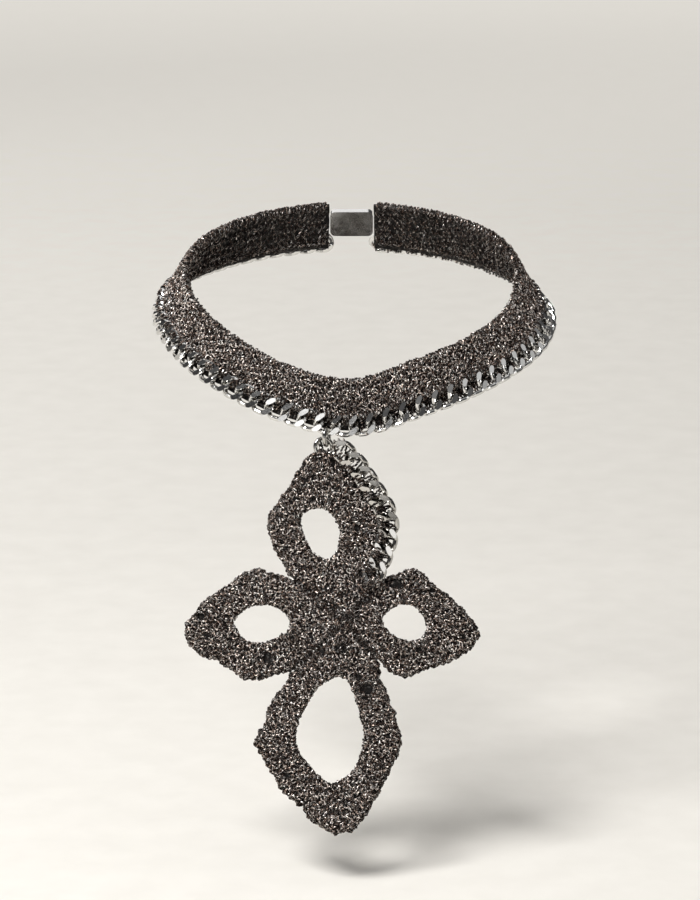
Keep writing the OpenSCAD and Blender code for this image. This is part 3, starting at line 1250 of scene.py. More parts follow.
def cover_end(seats: Seats, frame: LinkFrame, way: float, start: int, end: int) -> None:
    """Seat the loops that lie over one end of a chain's link.

    Args:
        seats: The seats to add to.
        frame: The link's place, direction along the chain and facing.
        way: How far along the chain the loops lie.
        start: The first loop's number, counted from the link's middle.
        end: The last loop's number.
    """
    place, along, facing = frame
    across = np.cross(facing, along)
    # The loops lie on a shallow bow round the link's end and lean to and fro.
    for n in range(start, end + 1):
        ahead = way - 0.14 * math.copysign(n * n, way)
        run = along + 0.4 * math.sin(2.3 * (n + 4)) * across
        spot = place + ahead * along + 0.8 * n * across + 0.7 * facing
        seats.add(spot, run, facing, Stitch.LEG)


@dataclass(frozen=True)
class Course:
    """A row of loops along the strip's rim, ledge or foot.

    `run` is in parts of down, off and along the strip, and `out` in parts of down and off.
    """

    level: float
    pitch: float
    shift: float
    far: float
    high: float
    run: Triple
    out: tuple[float, float]
    kind: Stitch = Stitch.LEG


COURSES = (
    Course(0.0, 1.3, 0.3, 1.0, 0.0, (0.0, 0.9, 0.5), (-1.0, 0.0), Stitch.RIM),
    Course(13.9, 1.9, 0.5, 13.9, 0.35, (-1.0, 0.6, 0.25), (0.6, 1.0)),
    Course(15.6, 1.9, 0.5, 15.6, LEDGE_SEAT, (-1.0, 0.1, 0.25), (0.1, 1.0)),
    Course(17.0, 2.2, 0.2, 16.7, -1.1, (0.0, 0.3, 1.0), (1.0, 0.0)),
)


@dataclass
class ChokerBand:
    """The crocheted strip round the neck."""

    line: NeckLine = field(default_factory=NeckLine)
    stations: int = 260
    samples: int = 240
    outline_step: float = 0.9
    end_margin: float = 0.8
    rows: int = 5
    first_row: float = 2.3
    row: float = 2.65
    stitch: float = 2.15
    spread: float = 0.42
    leg_gap: float = 0.55
    inside_first_row: float = 2.2
    inside_row: float = 3.25
    inside_stitch: float = 2.8
    inside_spread: float = 0.5
    inside_leg_gap: float = 0.7
    threads: int = 4
    under: float = 2.2

    def build(self, kit: Kit) -> None:
        """Make the strip and its loops.

        Args:
            kit: What it is made with.
        """
        ground = self._ground(kit)
        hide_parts("choker_band")
        fronts = [
            kit.crocheted(self._front(side), f"band_stitches_{name}")
            for side, name in ((-1, "left"), (1, "right"))
        ]
        inside = kit.crocheted(self._inside(), "band_stitches_inside")
        for piece in (ground, *fronts, inside):
            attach(piece, BODY)

    def _ground(self, kit: Kit) -> bpy.types.Object:
        """Make the form under the loops, whose material darkens it with painted shade.

        Args:
            kit: What it is made with.

        Returns:
            The form.
        """
        span = 180 - self.line.back_opening
        outline = SECTION.outline(self.line.strip_width, True, self.under)
        section = softened(outline, self.outline_step)
        rings = [
            [self.line.point(azimuth, far, high) for far, high in section]
            for azimuth in np.linspace(-span, span, self.stations)
        ]
        piece = skinned("band_ground", rings, False, kit.ground)
        lumpy(piece, *LUMPS)
        return piece

    def _azimuths(self, far: float, side: int, pitch: float, shift: float) -> list[float]:
        """Spread stitches evenly along half of the loop.

        Args:
            far: How far down the strip the row is.
            side: -1 for the left half, 1 for the right one.
            pitch: The distance between two stitches.
            shift: The share of a stitch that the row is moved by.

        Returns:
            The azimuths.
        """
        span = 180 - self.line.back_opening - self.end_margin
        steps = np.linspace(0, side * span, self.samples)
        lengths = lengths_along(np.array([self.line.point(a, far, 0) for a in steps]))
        return list(np.interp(np.arange(shift * pitch, lengths[-1], pitch), lengths, steps))

    def _front(self, side: int) -> Seats:
        """Seat the loops of the front, the rim and the ledge of one half.

        Args:
            side: -1 for the left half, 1 for the right one.

        Returns:
            The seats.
        """
        line, seats = self.line, Seats()
        high = FRONT_SEAT
        for row in range(self.rows):
            far = self.first_row + row * self.row
            for n, azimuth in enumerate(self._azimuths(far, side, self.stitch, 0.5 * (row % 2))):
                down, off = line.down(azimuth), line.off(azimuth)
                along = line.along(azimuth, far, high)
                axes = (-down, along, off)
                place = line.point(azimuth, far, high)
                v_stitch(seats, place, axes, self.spread, self.leg_gap)
                loose_threads(
                    seats,
                    lambda way: line.point(azimuth, far + way, high + THREAD_RISE),
                    (down, along, off),
                    self.threads,
                    n * STITCH_TURN + row * ROW_TURN,
                )
        for course in COURSES:
            for azimuth in self._azimuths(course.level, side, course.pitch, course.shift):
                down, off = line.down(azimuth), line.off(azimuth)
                along = line.along(azimuth, course.level, 0)
                run = course.run[0] * down + course.run[1] * off + course.run[2] * along
                out = course.out[0] * down + course.out[1] * off
                seats.add(line.point(azimuth, course.far, course.high), run, out, course.kind)
        frames = [f for f in CurbChains().edge_frames() if (f[0][0] >= 0) == (side > 0)]
        for low, high, over, drawn in LINK_YARN:
            held = [f for f in frames if low <= f[0][0] < high]
            work_through_links(seats, held, 1, over, drawn)
        return seats

    def _inside(self) -> Seats:
        """Seat the loops of the side that lies on the neck.

        Returns:
            The seats.
        """
        line, seats = self.line, Seats()
        high = BACK_SEAT
        for row in range(self.rows):
            far = self.inside_first_row + row * self.inside_row
            for side in (-1, 1):
                shift = 0.25 + 0.5 * (row % 2)
                for azimuth in self._azimuths(far, side, self.inside_stitch, shift):
                    along = line.along(azimuth, far, high)
                    axes = (-line.down(azimuth), along, -line.off(azimuth))
                    place = line.point(azimuth, far, high)
                    v_stitch(seats, place, axes, self.inside_spread, self.inside_leg_gap)
        return seats


@dataclass(frozen=True)
class RingYarn:
    """The yarn of the top petal's tip that goes through the lower ring."""

    middle: Triple = (-9.4, -64.8, -52.5)
    radius: float = 3.1
    turn: float = 15.0
    plane: CrossPlane = field(default_factory=CrossPlane)

    def add(self, seats: Seats) -> None:
        """Seat loops round the ring's lowest stretch and through the ring.

        Args:
            seats: The seats to add to.
        """
        across, up = direction(self.turn)
        face = across * self.plane.out + np.array([up, 0, 0])
        side = unit(np.cross(self.plane.up, face))
        for angle in (-130, -110, -90, -70, -50, -28):
            right, high = direction(angle)
            away = right * side + high * self.plane.up
            place = np.array(self.middle) + (self.radius - 0.7) * away
            seats.add(place, face + 0.2 * side, -away, Stitch.RIM)
        for far, high, deep in (
            (-1.3, -2.0, 0.2), (0.0, -1.9, -0.4), (1.3, -2.0, 0.0), (-1.2, -0.4, -0.9),
            (-0.2, 0.2, -1.2), (-1.0, 0.9, -1.2), (3.5, -1.2, -0.4), (3.9, 0.5, -0.6),
        ):
            place = np.array(self.middle) + far * side + high * self.plane.up + deep * face
            seats.add(place, self.plane.up + 0.1 * far * side, face, Stitch.LEG)


@dataclass
class Petal:
    """One crocheted loop of the cross round its hole."""

    name: str
    hole: tuple[float, float]
    rows: tuple[Triple, ...]
    lines: tuple[Meeting, Meeting]
    flat: tuple[float, float]
    ledge: tuple[float, float] | None = None
    joins: tuple[Meeting, ...] = ()
    knotted: bool = False
    eyes: tuple[Triple, ...] = ()
    plane: CrossPlane = field(default_factory=CrossPlane)
    stations: int = 144
    outline_step: float = 0.8
    outline_points: int = 26
    margin: float = 2.2
    under: float = 1.8
    most_rings: int = 12
    ring_turn: float = 7.0
    ring_gap: float = 2.6
    back_ring_gap: float = 3.2
    stitch: float = 2.15
    back_stitch: float = 2.9
    spread: float = 0.45
    leg_gap: float = 0.55
    most_slant: float = 2.0
    threads: int = 4
    rim_stitch: float = 1.7
    rim_turn: float = 3.0
    rim_gap: float = 0.95
    rim_depths: tuple[float, float] = (0.9, 1.15)
    ledge_rim_gap: float = 0.55
    ledge_rim_drop: float = 1.1
    scallop: float = 2.9
    scallop_swing: float = 0.5
    scallop_depth: float = 0.75
    scallop_wave: float = 0.25
    eye_bare: float = 1.35
    eye_rim: float = 0.85
    eye_stitch: float = 2.1
    seam_start: float = 0.6
    seam_stitch: float = 1.4
    seam_depths: tuple[float, float] = (0.75, 0.6)
    most_seam_stitches: int = 24
    knot_loops: int = 18
    knot_middle: tuple[float, float] = (0.1, 1.5)
    knot_reach: tuple[float, float] = (3.1, 1.7)
    knot_rise: float = 1.3

    @cached_property
    def table(self) -> np.ndarray:
        """Return the rows of bearing, inner and outer reach, with the first one again at 360."""
        return np.array((*self.rows, (360, *self.rows[0][1:])), float)

    def edges(self, bearing: float) -> tuple[float, float]:
        """Find where the petal's crochet starts and ends at a bearing from its hole.

        Args:
            bearing: The bearing in degrees.

        Returns:
            The reach of the inner edge and of the outer edge.
        """
        table, turned = self.table, bearing % 360
        inner, outer = (float(np.interp(turned, table[:, 0], table[:, c])) for c in (1, 2))
        return inner, min(outer, *(line.reach(self.hole, bearing) for line in self.lines))

    def ledged(self, bearing: float) -> bool:
        """Return whether the side chain lies over the petal's edge at a bearing."""
        turned = (bearing + 180) % 360 - 180
        return self.ledge is not None and self.ledge[0] < turned < self.ledge[1]

    def point(self, bearing: float, reach: float, high: float) -> np.ndarray:
        """Return a point of the petal in millimetres."""
        across, up = direction(bearing)
        return self.plane.point(self.hole[0] + reach * across, self.hole[1] + reach * up, high)

    def build(self, kit: Kit) -> None:
        """Make the petal and its loops.

        Args:
            kit: What it is made with.
        """
        ground = self._ground(kit)
        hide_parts(self.name)
        seats = Seats()
        self._face(seats, FRONT_SEAT, 1, self.stitch, self.ring_gap)
        self._face(seats, BACK_SEAT, -1, self.back_stitch, self.back_ring_gap)
        self._rims(seats)
        self._scallops(seats)
        self._seams(seats)
        self._eyes(seats)
        if self.knotted:
            self._knot(seats)
        if self.ledge:
            RingYarn().add(seats)
            links = CurbChains().side_frames()
            work_through_links(seats, links, -1, 2.35)
            cover_end(seats, links[-1], 4.9, -3, 5)
            cover_end(seats, links[0], -4.2, 2, 4)
        stitches = kit.crocheted(seats, f"{self.name}_stitches")
        for piece in (ground, stitches):
            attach(piece, BODY)
        self._area()

    def _area(self) -> float:
        """Return the petal's flat area in square metres, without its hole."""
        edges = [self.edges(bearing) for bearing in range(360)]
        return sum(outer**2 - inner**2 for inner, outer in edges) * math.radians(1) / 2 * MM * MM

    def _ground(self, kit: Kit) -> bpy.types.Object:
        """Make the form under the loops, whose material darkens it with painted shade.

        Args:
            kit: What it is made with.

        Returns:
            The form.
        """
        rings = []
        for bearing in np.linspace(0, 360, self.stations, endpoint=False):
            inner, outer = self.edges(bearing)
            ledged = self.ledged(bearing)
            outline = SECTION.outline(outer - inner, ledged, self.under if ledged else 0.0)
            section = self._even(softened(outline, self.outline_step), self.outline_points)
            rings.append([self.point(bearing, inner + far, high) for far, high in section])
        piece = skinned(f"{self.name}_ground", rings, True, kit.ground)
        lumpy(piece, *LUMPS)
        return piece

    def _even(self, outline: np.ndarray, count: int) -> list[tuple[float, float]]:
        """Put the same number of points on every outline.

        Args:
            outline: The outline's points.
            count: The number of points.

        Returns:
            Points at even distances.
        """
        loop = np.vstack([outline, outline[:1]])
        lengths = lengths_along(loop)
        places = np.linspace(0, lengths[-1], count, endpoint=False)
        return list(zip(*(np.interp(places, lengths, loop[:, c]) for c in (0, 1))))

    def _face(self, seats: Seats, high: float, side: int, pitch: float, gap: float) -> None:
        """Seat the loops of the petal's front or back in rings round its hole.

        Args:
            seats: The seats to add to.
            high: The loops' height over the middle.
            side: 1 for the front, -1 for the back.
            pitch: The distance between two stitches of a ring.
            gap: The distance between two rings.
        """
        out = self.plane.out * side
        for ring in range(self.most_rings):
            first, n = self.ring_turn * ring, 0
            bearing = first
            while bearing < 360 + first - 1:
                inner, outer = self.edges(bearing)
                slope = (self.edges(bearing + 2)[1] - self.edges(bearing - 2)[1]) / outer
                slant = min(self.most_slant, math.hypot(1, slope / math.radians(4)))
                room = outer - inner - self.margin - self.margin * slant
                parts = max(1, round(room / gap))
                reach = inner + self.margin + max(0.0, room) * min(1.0, ring / parts)
                here = bearing
                bearing += math.degrees(pitch / reach)
                n += 1
                if ring > parts:
                    continue
                level = high
                if side > 0 and self.ledged(here) and outer - reach < SECTION.ledge:
                    level = LEDGE_SEAT
                radial = self.plane.toward(*direction(here))
                axes = (radial, np.cross(self.plane.out, radial), out)
                place = self.point(here, reach, level)
                v_stitch(seats, place, axes, self.spread, self.leg_gap)
                if side > 0:
                    loose_threads(
                        seats,
                        lambda way: self.point(here, reach + way, level + THREAD_RISE),
                        axes,
                        self.threads,
                        n * STITCH_TURN + ring * ROW_TURN,
                    )

    def _edge_point(self, bearing: float, outer_edge: bool) -> np.ndarray:
        """Return a point of the inner or outer edge, half way through the crochet."""
        return self.point(bearing, self.edges(bearing)[1 if outer_edge else 0], 0)

    def _walk(
        self, outer_edge: bool, start: float, end: float, pitch: float, swing: float = 0.0
    ) -> Iterator[tuple[int, float, LinkFrame]]:
        """Step along an edge.

        Args:
            outer_edge: Whether it is the outer edge.
            start: The first bearing.
            end: The bearing that isn't reached.
            pitch: The distance between two steps.
            swing: How much that changes from step to step.

        Yields:
            The step's number, its bearing, and its place with the directions along and out.
        """
        bearing, n = start, 0
        while bearing < end:
            here = self._edge_point(bearing, outer_edge)
            ahead = self._edge_point(bearing + 1, outer_edge) - here
            step = np.linalg.norm(ahead)
            tangent = ahead / step
            out = np.cross(tangent, self.plane.out)
            yield n, bearing, (here, tangent, out if outer_edge else -out)
            bearing += (pitch + swing * math.sin(1.7 * n)) / max(step, 0.05)
            n += 1

    def _rims(self, seats: Seats) -> None:
        """Seat the loops that run along the inner and outer edges, three abreast.

        Args:
            seats: The seats to add to.
        """
        front = self.plane.out
        for outer_edge in (False, True):
            for level in (-1, 0, 1):
                first = self.rim_turn * level
                steps = self._walk(outer_edge, first, 360 + first - 1, self.rim_stitch)
                for n, bearing, (here, tangent, out) in steps:
                    high = self.rim_gap * level
                    if outer_edge and self.ledged(bearing):
                        high = self.ledge_rim_gap * level - self.ledge_rim_drop
                    place = here - self.rim_depths[abs(level)] * out + high * front
                    run = tangent + (0.5 if n % 2 else -0.25) * front
                    seats.add(place, run, out + 0.8 * level * front, Stitch.LEG)

    def _scallops(self, seats: Seats) -> None:
        """Seat the loops that stand out a little along the outer edge.

        Args:
            seats: The seats to add to.
        """
        front = self.plane.out
        for level in (-0.6, 0.5):
            steps = self._walk(True, 1.5 + 2 * level, 360, self.scallop, self.scallop_swing)
            for n, bearing, (here, tangent, out) in steps:
                if not self.ledged(bearing):
                    depth = self.scallop_depth + self.scallop_wave * math.sin(2.3 * n)
                    place = here - depth * out + level * front
                    seats.add(place, tangent + 0.2 * front, out, Stitch.RIM)

    def _eyes(self, seats: Seats) -> None:
        """Leave the small eyes of the stitches open, each with yarn laid round it, so that the ground,
        darkened with painted shade, shows in them.

        Args:
            seats: The seats to clear and to add to.
        """
        front = self.plane.out
        for across, up, reach in self.eyes:
            spot = self.plane.point(across, up, SECTION.front - 0.2)
            seats.clear(spot, reach + self.eye_bare)
            radius = reach + self.eye_rim
            count = max(4, round(math.tau * radius / self.eye_stitch))
            for k in range(count):
                away = self.plane.toward(*direction(360 * k / count))
                run = np.cross(front, away) - 0.25 * front
                seats.add(spot + radius * away, run, front + 0.3 * away, Stitch.LEG)

    def _seams(self, seats: Seats) -> None:
        """Seat the loops that join this petal to its neighbours along the meeting lines.

        Args:
            seats: The seats to add to.
        """
        for line in self.joins:
            across, up = direction(line.bearing)
            over, ahead = self.plane.toward(-up, across), self.plane.toward(across, up)
            for k in range(self.most_seam_stitches):
                way = self.seam_start + self.seam_stitch * k
                dx, dy = way * across - self.hole[0], way * up - self.hole[1]
                bearing = math.degrees(math.atan2(dy, dx)) % 360
                if math.hypot(dx, dy) > np.interp(bearing, self.table[:, 0], self.table[:, 2]) - 1:
                    break
                for side, depth in zip((1, -1), self.seam_depths):
                    high = side * (SECTION.front - depth)
                    place = self.plane.point(way * across, way * up, high)
                    run = over + (0.5 if k % 2 else -0.3) * ahead
                    seats.add(place, run, side * self.plane.out, Stitch.LEG)

    def _knot(self, seats: Seats) -> None:
        """Seat the loops of the small raised knot where the petals meet.

        Args:
            seats: The seats to add to.
        """
        (x, y), (wide, tall) = self.knot_middle, self.knot_reach
        for k in range(self.knot_loops):
            share = math.sqrt((k + 0.5) / self.knot_loops)
            across, up = math.cos(2.4 * k), math.sin(2.4 * k)
            high = SECTION.front - 0.3 + self.knot_rise * math.sqrt(1 - share * share)
            place = self.plane.point(x + wide * share * across, y + tall * share * up, high)
            away = self.plane.toward(across, up)
            run = np.cross(self.plane.out, away) + 0.4 * away
            seats.add(place, run, self.plane.out + share * away, Stitch.LEG)


@dataclass
class CurbLink:
    """One link of the curb chain: a turned oval of wire with ground faces."""

    reach: float = 4.2
    half_width: float = 3.3
    wire: float = 0.92
    squareness: float = 0.87
    twist: float = 38.0
    twist_from: float = 0.2
    twist_to: float = 0.9
    ground: float = 1.45
    ground_out: float = 2.3
    ground_lean: float = 5.0
    sharp_from: float = 24.0
    nudge: float = 0.04
    steps: int = 36
    sides: int = 12

    def _turn(self, x: float) -> float:
        """Find how far the link is turned.

        Args:
            x: The share of the link's half length, from -1 to 1.

        Returns:
            The turn in radians.
        """
        share = (abs(x) - self.twist_from) / (self.twist_to - self.twist_from)
        share = min(1.0, max(0.0, share))
        return -math.radians(self.twist) * math.copysign(share * share * (3 - 2 * share), x)

    def _centre(self, angle: float) -> np.ndarray:
        """Find a point of the wire's centre line.

        Args:
            angle: The angle round the link in radians.

        Returns:
            The point in millimetres.
        """
        x, y = (
            math.copysign(abs(part) ** self.squareness, part)
            for part in (math.cos(angle), math.sin(angle))
        )
        turn, side = self._turn(x), self.half_width * y
        return np.array([self.reach * x, side * math.cos(turn), side * math.sin(turn)])

    def _rings(self) -> list[list[np.ndarray]]:
        """Lay rings of points round the wire.

        Returns:
            The rings, in order round the link.
        """
        rings = []
        for i in range(self.steps):
            angle = math.tau * (i + 0.5) / self.steps
            middle = self._centre(angle)
            along = unit(self._centre(angle + self.nudge) - self._centre(angle - self.nudge))
            turn = self._turn(middle[0] / self.reach)
            up = square(np.array([0, -math.sin(turn), math.cos(turn)]), along)
            side = np.cross(along, up)
            parts = [math.tau * j / self.sides for j in range(self.sides)]
            rings.append([middle + self.wire * (math.cos(p) * side + math.sin(p) * up) for p in parts])
        return rings

    def template(self, steel: bpy.types.Material) -> bpy.types.Object:
        """Make one link at the origin, along X with its face towards Z.

        Args:
            steel: The metal's material.

        Returns:
            The link.
        """
        piece = skinned("link", self._rings(), True, steel)
        shaped = bmesh.new()
        shaped.from_mesh(piece.data)
        lean = math.radians(self.ground_lean)
        for z, y in ((-1, -1), (-1, 1), (1, -1), (1, 1)):
            cut = bmesh.ops.bisect_plane(
                shaped,
                geom=shaped.verts[:] + shaped.edges[:] + shaped.faces[:],
                plane_co=(0, y * self.ground_out * MM, z * self.ground * MM),
                plane_no=(0, y * math.sin(lean), z * math.cos(lean)),
                clear_outer=True,
            )
            rim = [e for e in cut["geom_cut"] if isinstance(e, bmesh.types.BMEdge)]
            bmesh.ops.holes_fill(shaped, edges=rim, sides=0)
        bmesh.ops.recalc_face_normals(shaped, faces=shaped.faces)
        sharp = math.radians(self.sharp_from)
        for edge in shaped.edges:
            if len(edge.link_faces) == 2 and edge.calc_face_angle() > sharp:
                edge.smooth = False
        shaped.to_mesh(piece.data)
        shaped.free()
        smoothed(piece.data)
        return piece


def chain_tree() -> bpy.types.NodeTree:
    """Build the node tree that puts a link at each seat.

    Returns:
        The tree.
    """
    inputs = {"Geometry": "Geometry", "Link": "Object", "Link Size": "Float", "Material": "Material"}
    tree = node_group("chain_work", "GeometryNodeTree", inputs, {"Geometry": "Geometry"})
    wire = Wiring(tree)
    given = wire.add("NodeGroupInput").outputs
    turn, size = wire.attribute("turn", "FLOAT_VECTOR"), given["Link Size"]
    standing = {
        "Points": wire.get("GeometryNodeMeshToPoints", {0: given["Geometry"]}),
        "Instance": wire.get("GeometryNodeObjectInfo", {"Object": given["Link"]}, "Geometry"),
        "Rotation": wire.get("FunctionNodeEulerToRotation", {0: turn}),
        "Scale": wire.vector(size, size, size),
    }
    wire.finish(wire.get("GeometryNodeInstanceOnPoints", standing), given["Material"])
    return tree


SIDE_ROWS = (
    (-4.7, 63.9, 3.6, 10),
    (-1.3, 60.9, 3.3, 12),
    (3.2, 56.6, 2.9, 18),
    (7.4, 50.8, 2.8, 18),
    (11.2, 44.8, 2.7, 16),
    (14.3, 39.2, 2.3, 12),
    (15.2, 33.4, 1.9, 6),
    (14.3, 27.4, 1.8, 2),
    (12.5, 22.0, 2.3, 0),
    (10.5, 17.4, 2.8, 0),
    (8.6, 13.2, 2.9, 0),
)

SIDE_LEANS = (
    (-0.044, 0.044), (-0.022, 0.032), (-0.054, 0.035), (-0.038, 0.058), (-0.058, 0.048),
    (0.0, 0.143), (-0.08, 0.064), (-0.16, 0.16), (-0.15, 0.08),
)


@dataclass
class CurbChains:
    """The chain along the strip's lower edge and the short one down the top petal's side."""

    line: NeckLine = field(default_factory=NeckLine)
    plane: CrossPlane = field(default_factory=CrossPlane)
    link: CurbLink = field(default_factory=CurbLink)
    pitch: float = 6.25
    first_azimuth: float = -7.4
    end_margin: float = 1.5
    side_start: float = 5.6
    side_pitch: float = 6.1
    side_links: int = 9
    samples: int = 120
    looseness: float = 0.045

    def build(self, kit: Kit) -> None:
        """Make both chains.

        Args:
            kit: What they are made with.
        """
        link = self.link.template(kit.steel)
        tree = chain_tree()
        edge, side = self.edge_frames(), self.side_frames()
        loose = [(self.looseness * math.sin(2.4 * i), 0.0) for i in range(len(edge))]
        for name, frames, leans, steel in (
            ("edge_chain", edge, loose, kit.steel),
            # The side chain gets the darker steel, which is painted shade.
            ("side_chain", side, SIDE_LEANS, kit.dull_steel),
        ):
            seats = Seats()
            for (place, along, facing), (roll, pitch) in zip(frames, leans):
                across = np.cross(facing, along)
                face = facing + roll * across + pitch * along
                seats.add_link(place, along - pitch * facing, face)
            values: dict[str, Plug] = {"Link": link, "Link Size": 1.0, "Material": steel}
            piece = realised(seats.mesh(name + "_seats"), tree, values, name + "_links")
            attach(piece, BODY)
            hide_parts(name)
            LOG.info("%s: %d links", name, len(seats.points))
        bpy.data.objects.remove(link)

    def edge_frames(self) -> list[LinkFrame]:
        """Place the links along the strip's lower edge.

        Returns:
            For each link its place, its direction along the chain and its facing.
        """
        line, frames = self.line, []
        span = 180 - line.back_opening - self.end_margin
        for side in (-1, 1):
            steps = np.linspace(self.first_azimuth, side * span, self.samples + 1)
            lengths = lengths_along(np.array([line.chain_point(a) for a in steps]))
            count = math.floor(lengths[-1] / self.pitch)
            for i in range(0 if side > 0 else 1, count + 1):
                azimuth = float(np.interp(i * self.pitch, lengths, steps))
                along = unit(line.chain_point(azimuth + 1) - line.chain_point(azimuth - 1))
                facing = square(line.chain_facing(azimuth), along)
                frames.append((line.chain_point(azimuth), along, facing))
        return frames

    def side_row(self, place: float) -> list[float]:
        """Read the side chain's table between its rows.

        Args:
            place: The place in rows from its first one.

        Returns:
            Across, up, height and roll.
        """
        last = len(SIDE_ROWS) - 1
        i = max(0, min(last - 1, math.floor(place)))
        around = [SIDE_ROWS[k] for k in (max(0, i - 1), i, i + 1, min(last, i + 2))]
        return [between(*(row[c] for row in around), place - i) for c in range(4)]

    def side_point(self, place: float) -> np.ndarray:
        """Return the point of the side chain's middle line at a place in rows."""
        return self.plane.point(*self.side_row(place)[:3])

    def side_frames(self) -> list[LinkFrame]:
        """Place the links down the top petal's side.

        Returns:
            What `edge_frames` returns.
        """
        frames = []
        places = np.linspace(0, len(SIDE_ROWS) - 1, self.samples + 1)
        lengths = lengths_along(np.array([self.side_point(p) for p in places]))
        for i in range(self.side_links):
            place = float(np.interp(self.side_start + i * self.side_pitch, lengths, places))
            along = unit(self.side_point(place + 0.3) - self.side_point(place - 0.3))
            roll = math.radians(self.side_row(place)[3])
            across = np.cross(self.plane.out, along)
            facing = math.cos(roll) * self.plane.out - math.sin(roll) * across
            frames.append((self.side_point(place), along, square(facing, along)))
        return frames


@dataclass
class Fittings:
    """The jump rings and the clasp, which keep their CAD forms."""

    rings: tuple[str, ...] = ("upper_ring", "lower_ring")
    clasp: str = "clasp"

    def build(self, kit: Kit) -> None:
        """Give the fittings their metal.

        Args:
            kit: What they are made with.
        """
        for name in (*self.rings, self.clasp):
            piece = frame["nodes"][name]
            piece.data.materials.clear()
            # The rings get the darker steel, which is painted shade.
            piece.data.materials.append(kit.dull_steel if name in self.rings else kit.steel)


@dataclass(frozen=True)
class SoftLight:
    """A lit rectangle: where it stands in degrees, its sides in metres and its power in watts."""

    name: str
    azimuth: float
    elevation: float
    sides: tuple[float, float]
    power: float


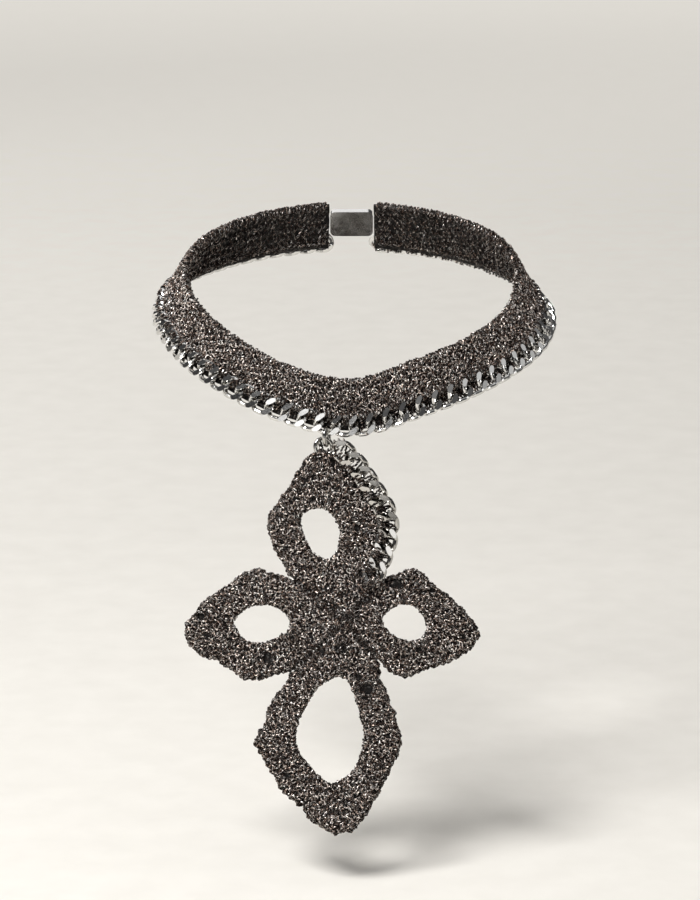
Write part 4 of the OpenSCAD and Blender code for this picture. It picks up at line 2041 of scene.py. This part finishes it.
@dataclass
class Studio:
    """The pale floor, the soft lights and the camera."""

    aim: Triple = (0.0, -0.0661, -0.0533)
    distance: float = 1.5
    elevation: float = 15.0
    lens: float = 168.0
    floor_level: float = -0.2
    floor_reach: float = 4.0
    floor_sweep: float = 0.5
    floor_sides: int = 72
    light_aim: Triple = (0, -0.05, -0.08)
    light_distance: float = 1.35
    lights: tuple[SoftLight, ...] = (
        SoftLight("key", -48.0, 57.0, (0.58, 0.46), 20.5),
        SoftLight("front", -16.0, 15.0, (0.72, 0.6), 2.2),
        SoftLight("top", 125.0, 62.0, (1.3, 0.9), 1.6),
        SoftLight("back", 200.0, 28.0, (1.1, 0.7), 2.5),
    )

    def build(self) -> None:
        """Set up the floor, the camera, the lights and the world."""
        self._floor()
        self._camera()
        for light in self.lights:
            self._light(light)
        self._world()

    def _floor_finish(self) -> bpy.types.Material:
        """Make the floor's pale material, which glows softly far from the object as painted light and
        is painted darker where it sweeps up.

        Returns:
            The material.
        """
        made, wire, shader = shader_material("pale_floor")
        place = wire.get("ShaderNodeTexCoord", output="Object")
        grain = wire.get("ShaderNodeTexNoise", {"Vector": place, "Scale": 60.0, "Detail": 4.0})
        colour = wire.ramp(grain, [(0.3, (0.74, 0.71, 0.655)), (0.7, (0.78, 0.75, 0.695))])
        height = wire.get("ShaderNodeSeparateXYZ", {0: place}, 2)
        # Painted shade: colour and glow fall away where the floor sweeps up.
        rise = wire.mapped(height, -0.195, -0.1, 1.0, 0.12)
        # Painted light: the floor glows more the farther it lies from the object.
        far = wire.get("ShaderNodeVectorMath", {0: place}, "Value", operation="LENGTH")
        glows = [
            (0.1, (0.12, 0.115, 0.105)),
            (0.275, (0.26, 0.25, 0.23)),
            (0.365, (0.4, 0.385, 0.355)),
            (0.475, (0.54, 0.52, 0.48)),
            (0.7, (0.66, 0.64, 0.59)),
        ]
        glow = wire.ramp(wire.math("MULTIPLY", far, 0.25), glows)
        sweep_shade = wire.vector(rise, rise, rise)
        fed = {
            "Base Color": wire.multiplied(colour, sweep_shade),
            "Emission Color": wire.multiplied(glow, sweep_shade),
            "Emission Strength": 1.0,
            "Roughness": 0.8,
        }
        wire.plug(shader, fed)
        return made

    def _floor(self) -> None:
        """Make a round pale floor whose far edge sweeps up."""
        sides, reach, sweep = self.floor_sides, self.floor_reach, self.floor_sweep
        profile = [(1.0, 0.0), (2.4, 0.0), (reach, 0.0)]
        profile += [
            (reach + sweep * math.sin(a), sweep - sweep * math.cos(a))
            for a in np.linspace(0.1, 1.3, 8)
        ]
        turns = [math.tau * k / sides for k in range(sides)]
        points = [
            (r * math.cos(a), r * math.sin(a), z + self.floor_level) for r, z in profile for a in turns
        ]
        faces: list[tuple[int, ...]] = [tuple(range(sides))]
        for inner in range(0, sides * (len(profile) - 1), sides):
            for k in range(sides):
                m = (k + 1) % sides
                faces.append((inner + k, inner + sides + k, inner + sides + m, inner + m))
        data = bpy.data.meshes.new("floor")
        data.from_pydata(points, [], faces)
        data.materials.append(self._floor_finish())
        smoothed(data)
        in_scene("floor", data)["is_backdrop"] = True

    def _hang(
        self,
        name: str,
        data: bpy.types.ID,
        aim: Triple,
        azimuth: float,
        elevation: float,
        distance: float,
    ) -> bpy.types.Object:
        """Hang a camera or a light so that it looks at a point.

        Args:
            name: Its name.
            data: The camera's or light's data.
            aim: The point.
            azimuth: Degrees from the front towards the right.
            elevation: Degrees over the level.
            distance: How far it is from the point in metres.

        Returns:
            The object.
        """
        level, height = direction(elevation)
        across, up = direction(azimuth)
        way = Vector((up * level, -across * level, height))
        piece = in_scene(name, data)
        piece.location = Vector(aim) + distance * way
        piece.rotation_euler = (-way).to_track_quat("-Z", "Y").to_euler()
        return piece

    def _camera(self) -> None:
        """Look from the photograph's side."""
        data = bpy.data.cameras.new("camera")
        data.lens = self.lens
        data.sensor_width = 36.0
        data.clip_start, data.clip_end = 0.05, 20.0
        camera = self._hang("camera", data, self.aim, 0.0, self.elevation, self.distance)
        bpy.context.scene.camera = camera

    def _light(self, light: SoftLight) -> None:
        """Hang one soft light.

        Args:
            light: The light.
        """
        data = bpy.data.lights.new(light.name, "AREA")
        data.shape = "RECTANGLE"
        data.size, data.size_y = light.sides
        data.energy = light.power
        where = (self.light_aim, light.azimuth, light.elevation, self.light_distance)
        self._hang(light.name, data, *where)

    def _world(self) -> None:
        """Surround the object with a room that is bright above and dark at eye level."""
        world = bpy.data.worlds.new("studio")
        world.use_nodes = True
        world.node_tree.nodes.clear()
        wire = Wiring(world.node_tree)
        way = wire.get("ShaderNodeTexCoord", output="Generated")
        height = wire.get("ShaderNodeSeparateXYZ", {0: way}, 2)
        room = [
            (0.47, (0.30, 0.29, 0.27)),
            (0.53, (0.05, 0.05, 0.052)),
            (0.88, (0.1, 0.1, 0.102)),
            (1.0, (0.35, 0.35, 0.35)),
        ]
        colour = wire.ramp(wire.mapped(height, -1.0, 1.0, 0.0, 1.0), room)
        light = wire.add("ShaderNodeBackground", {0: colour, 1: 1.0})
        wire.add("ShaderNodeOutputWorld", {0: light.outputs[0]})
        bpy.context.scene.world = world
        bpy.context.scene.view_settings.view_transform = "Standard"


def petals() -> list[Petal]:
    """Return the four petals of the cross."""
    return [
        Petal(
            name="top_petal",
            hole=(-8.9, 31.2),
            rows=TOP_ROWS,
            lines=(TOP_LEFT, TOP_RIGHT),
            flat=(0.044, 0.062),
            ledge=(-30.0, 80.0),
            joins=(TOP_LEFT, TOP_RIGHT),
            eyes=((6.2, 16.9, 0.5), (4.3, 33.3, 0.5)),
        ),
        Petal(
            name="left_petal",
            hole=(-29.6, -0.7),
            rows=LEFT_ROWS,
            lines=(TOP_LEFT, BOTTOM_LEFT),
            flat=(0.058, 0.041),
            eyes=((-27.6, -13.0, 1.1), (-51.5, 1.9, 0.5), (-3.6, -8.7, 1.2)),
        ),
        Petal(
            name="right_petal",
            hole=(21.0, -0.5),
            rows=RIGHT_ROWS,
            lines=(TOP_RIGHT, BOTTOM_RIGHT),
            flat=(0.049, 0.040),
            knotted=True,
            eyes=((18.1, 13.4, 1.4), (26.3, -10.0, 0.4), (4.2, 2.2, 0.3)),
        ),
        Petal(
            name="bottom_petal",
            hole=(-5.5, -38.6),
            rows=BOTTOM_ROWS,
            lines=(BOTTOM_LEFT, BOTTOM_RIGHT),
            flat=(0.053, 0.076),
            joins=(BOTTOM_LEFT, BOTTOM_RIGHT),
            eyes=((7.8, -24.0, 1.5), (4.8, -19.8, 0.5), (-1.4, -9.6, 1.2)),
        ),
    ]


def main() -> None:
    """Build the looks in order."""
    logging.basicConfig(level=logging.INFO, format="%(name)s: %(message)s")
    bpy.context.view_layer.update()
    Studio().build()
    thread = GlitterThread()
    group = thread.group()
    work = YarnWork()
    kit = Kit(
        work,
        work.tree(),
        thread.material(group),
        thread.ground(group),
        PolishedSteel().material(),
        # Painted shade: a darker copy of the steel for the rings and the side chain, standing in for
        # the dark surroundings that they reflect.
        PolishedSteel("dull_steel", (0.5, 0.485, 0.46)).material(),
    )
    ChokerBand().build(kit)
    for petal in petals():
        petal.build(kit)
    CurbChains().build(kit)
    Fittings().build(kit)
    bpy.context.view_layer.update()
    total = 0
    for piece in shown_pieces():
        piece.data.calc_loop_triangles()
        count = len(piece.data.loop_triangles)
        total += count
        LOG.info("%s: %d triangles", piece.name, count)
    LOG.info("triangles in all: %d", total)


if __name__ == "__main__":
    main()
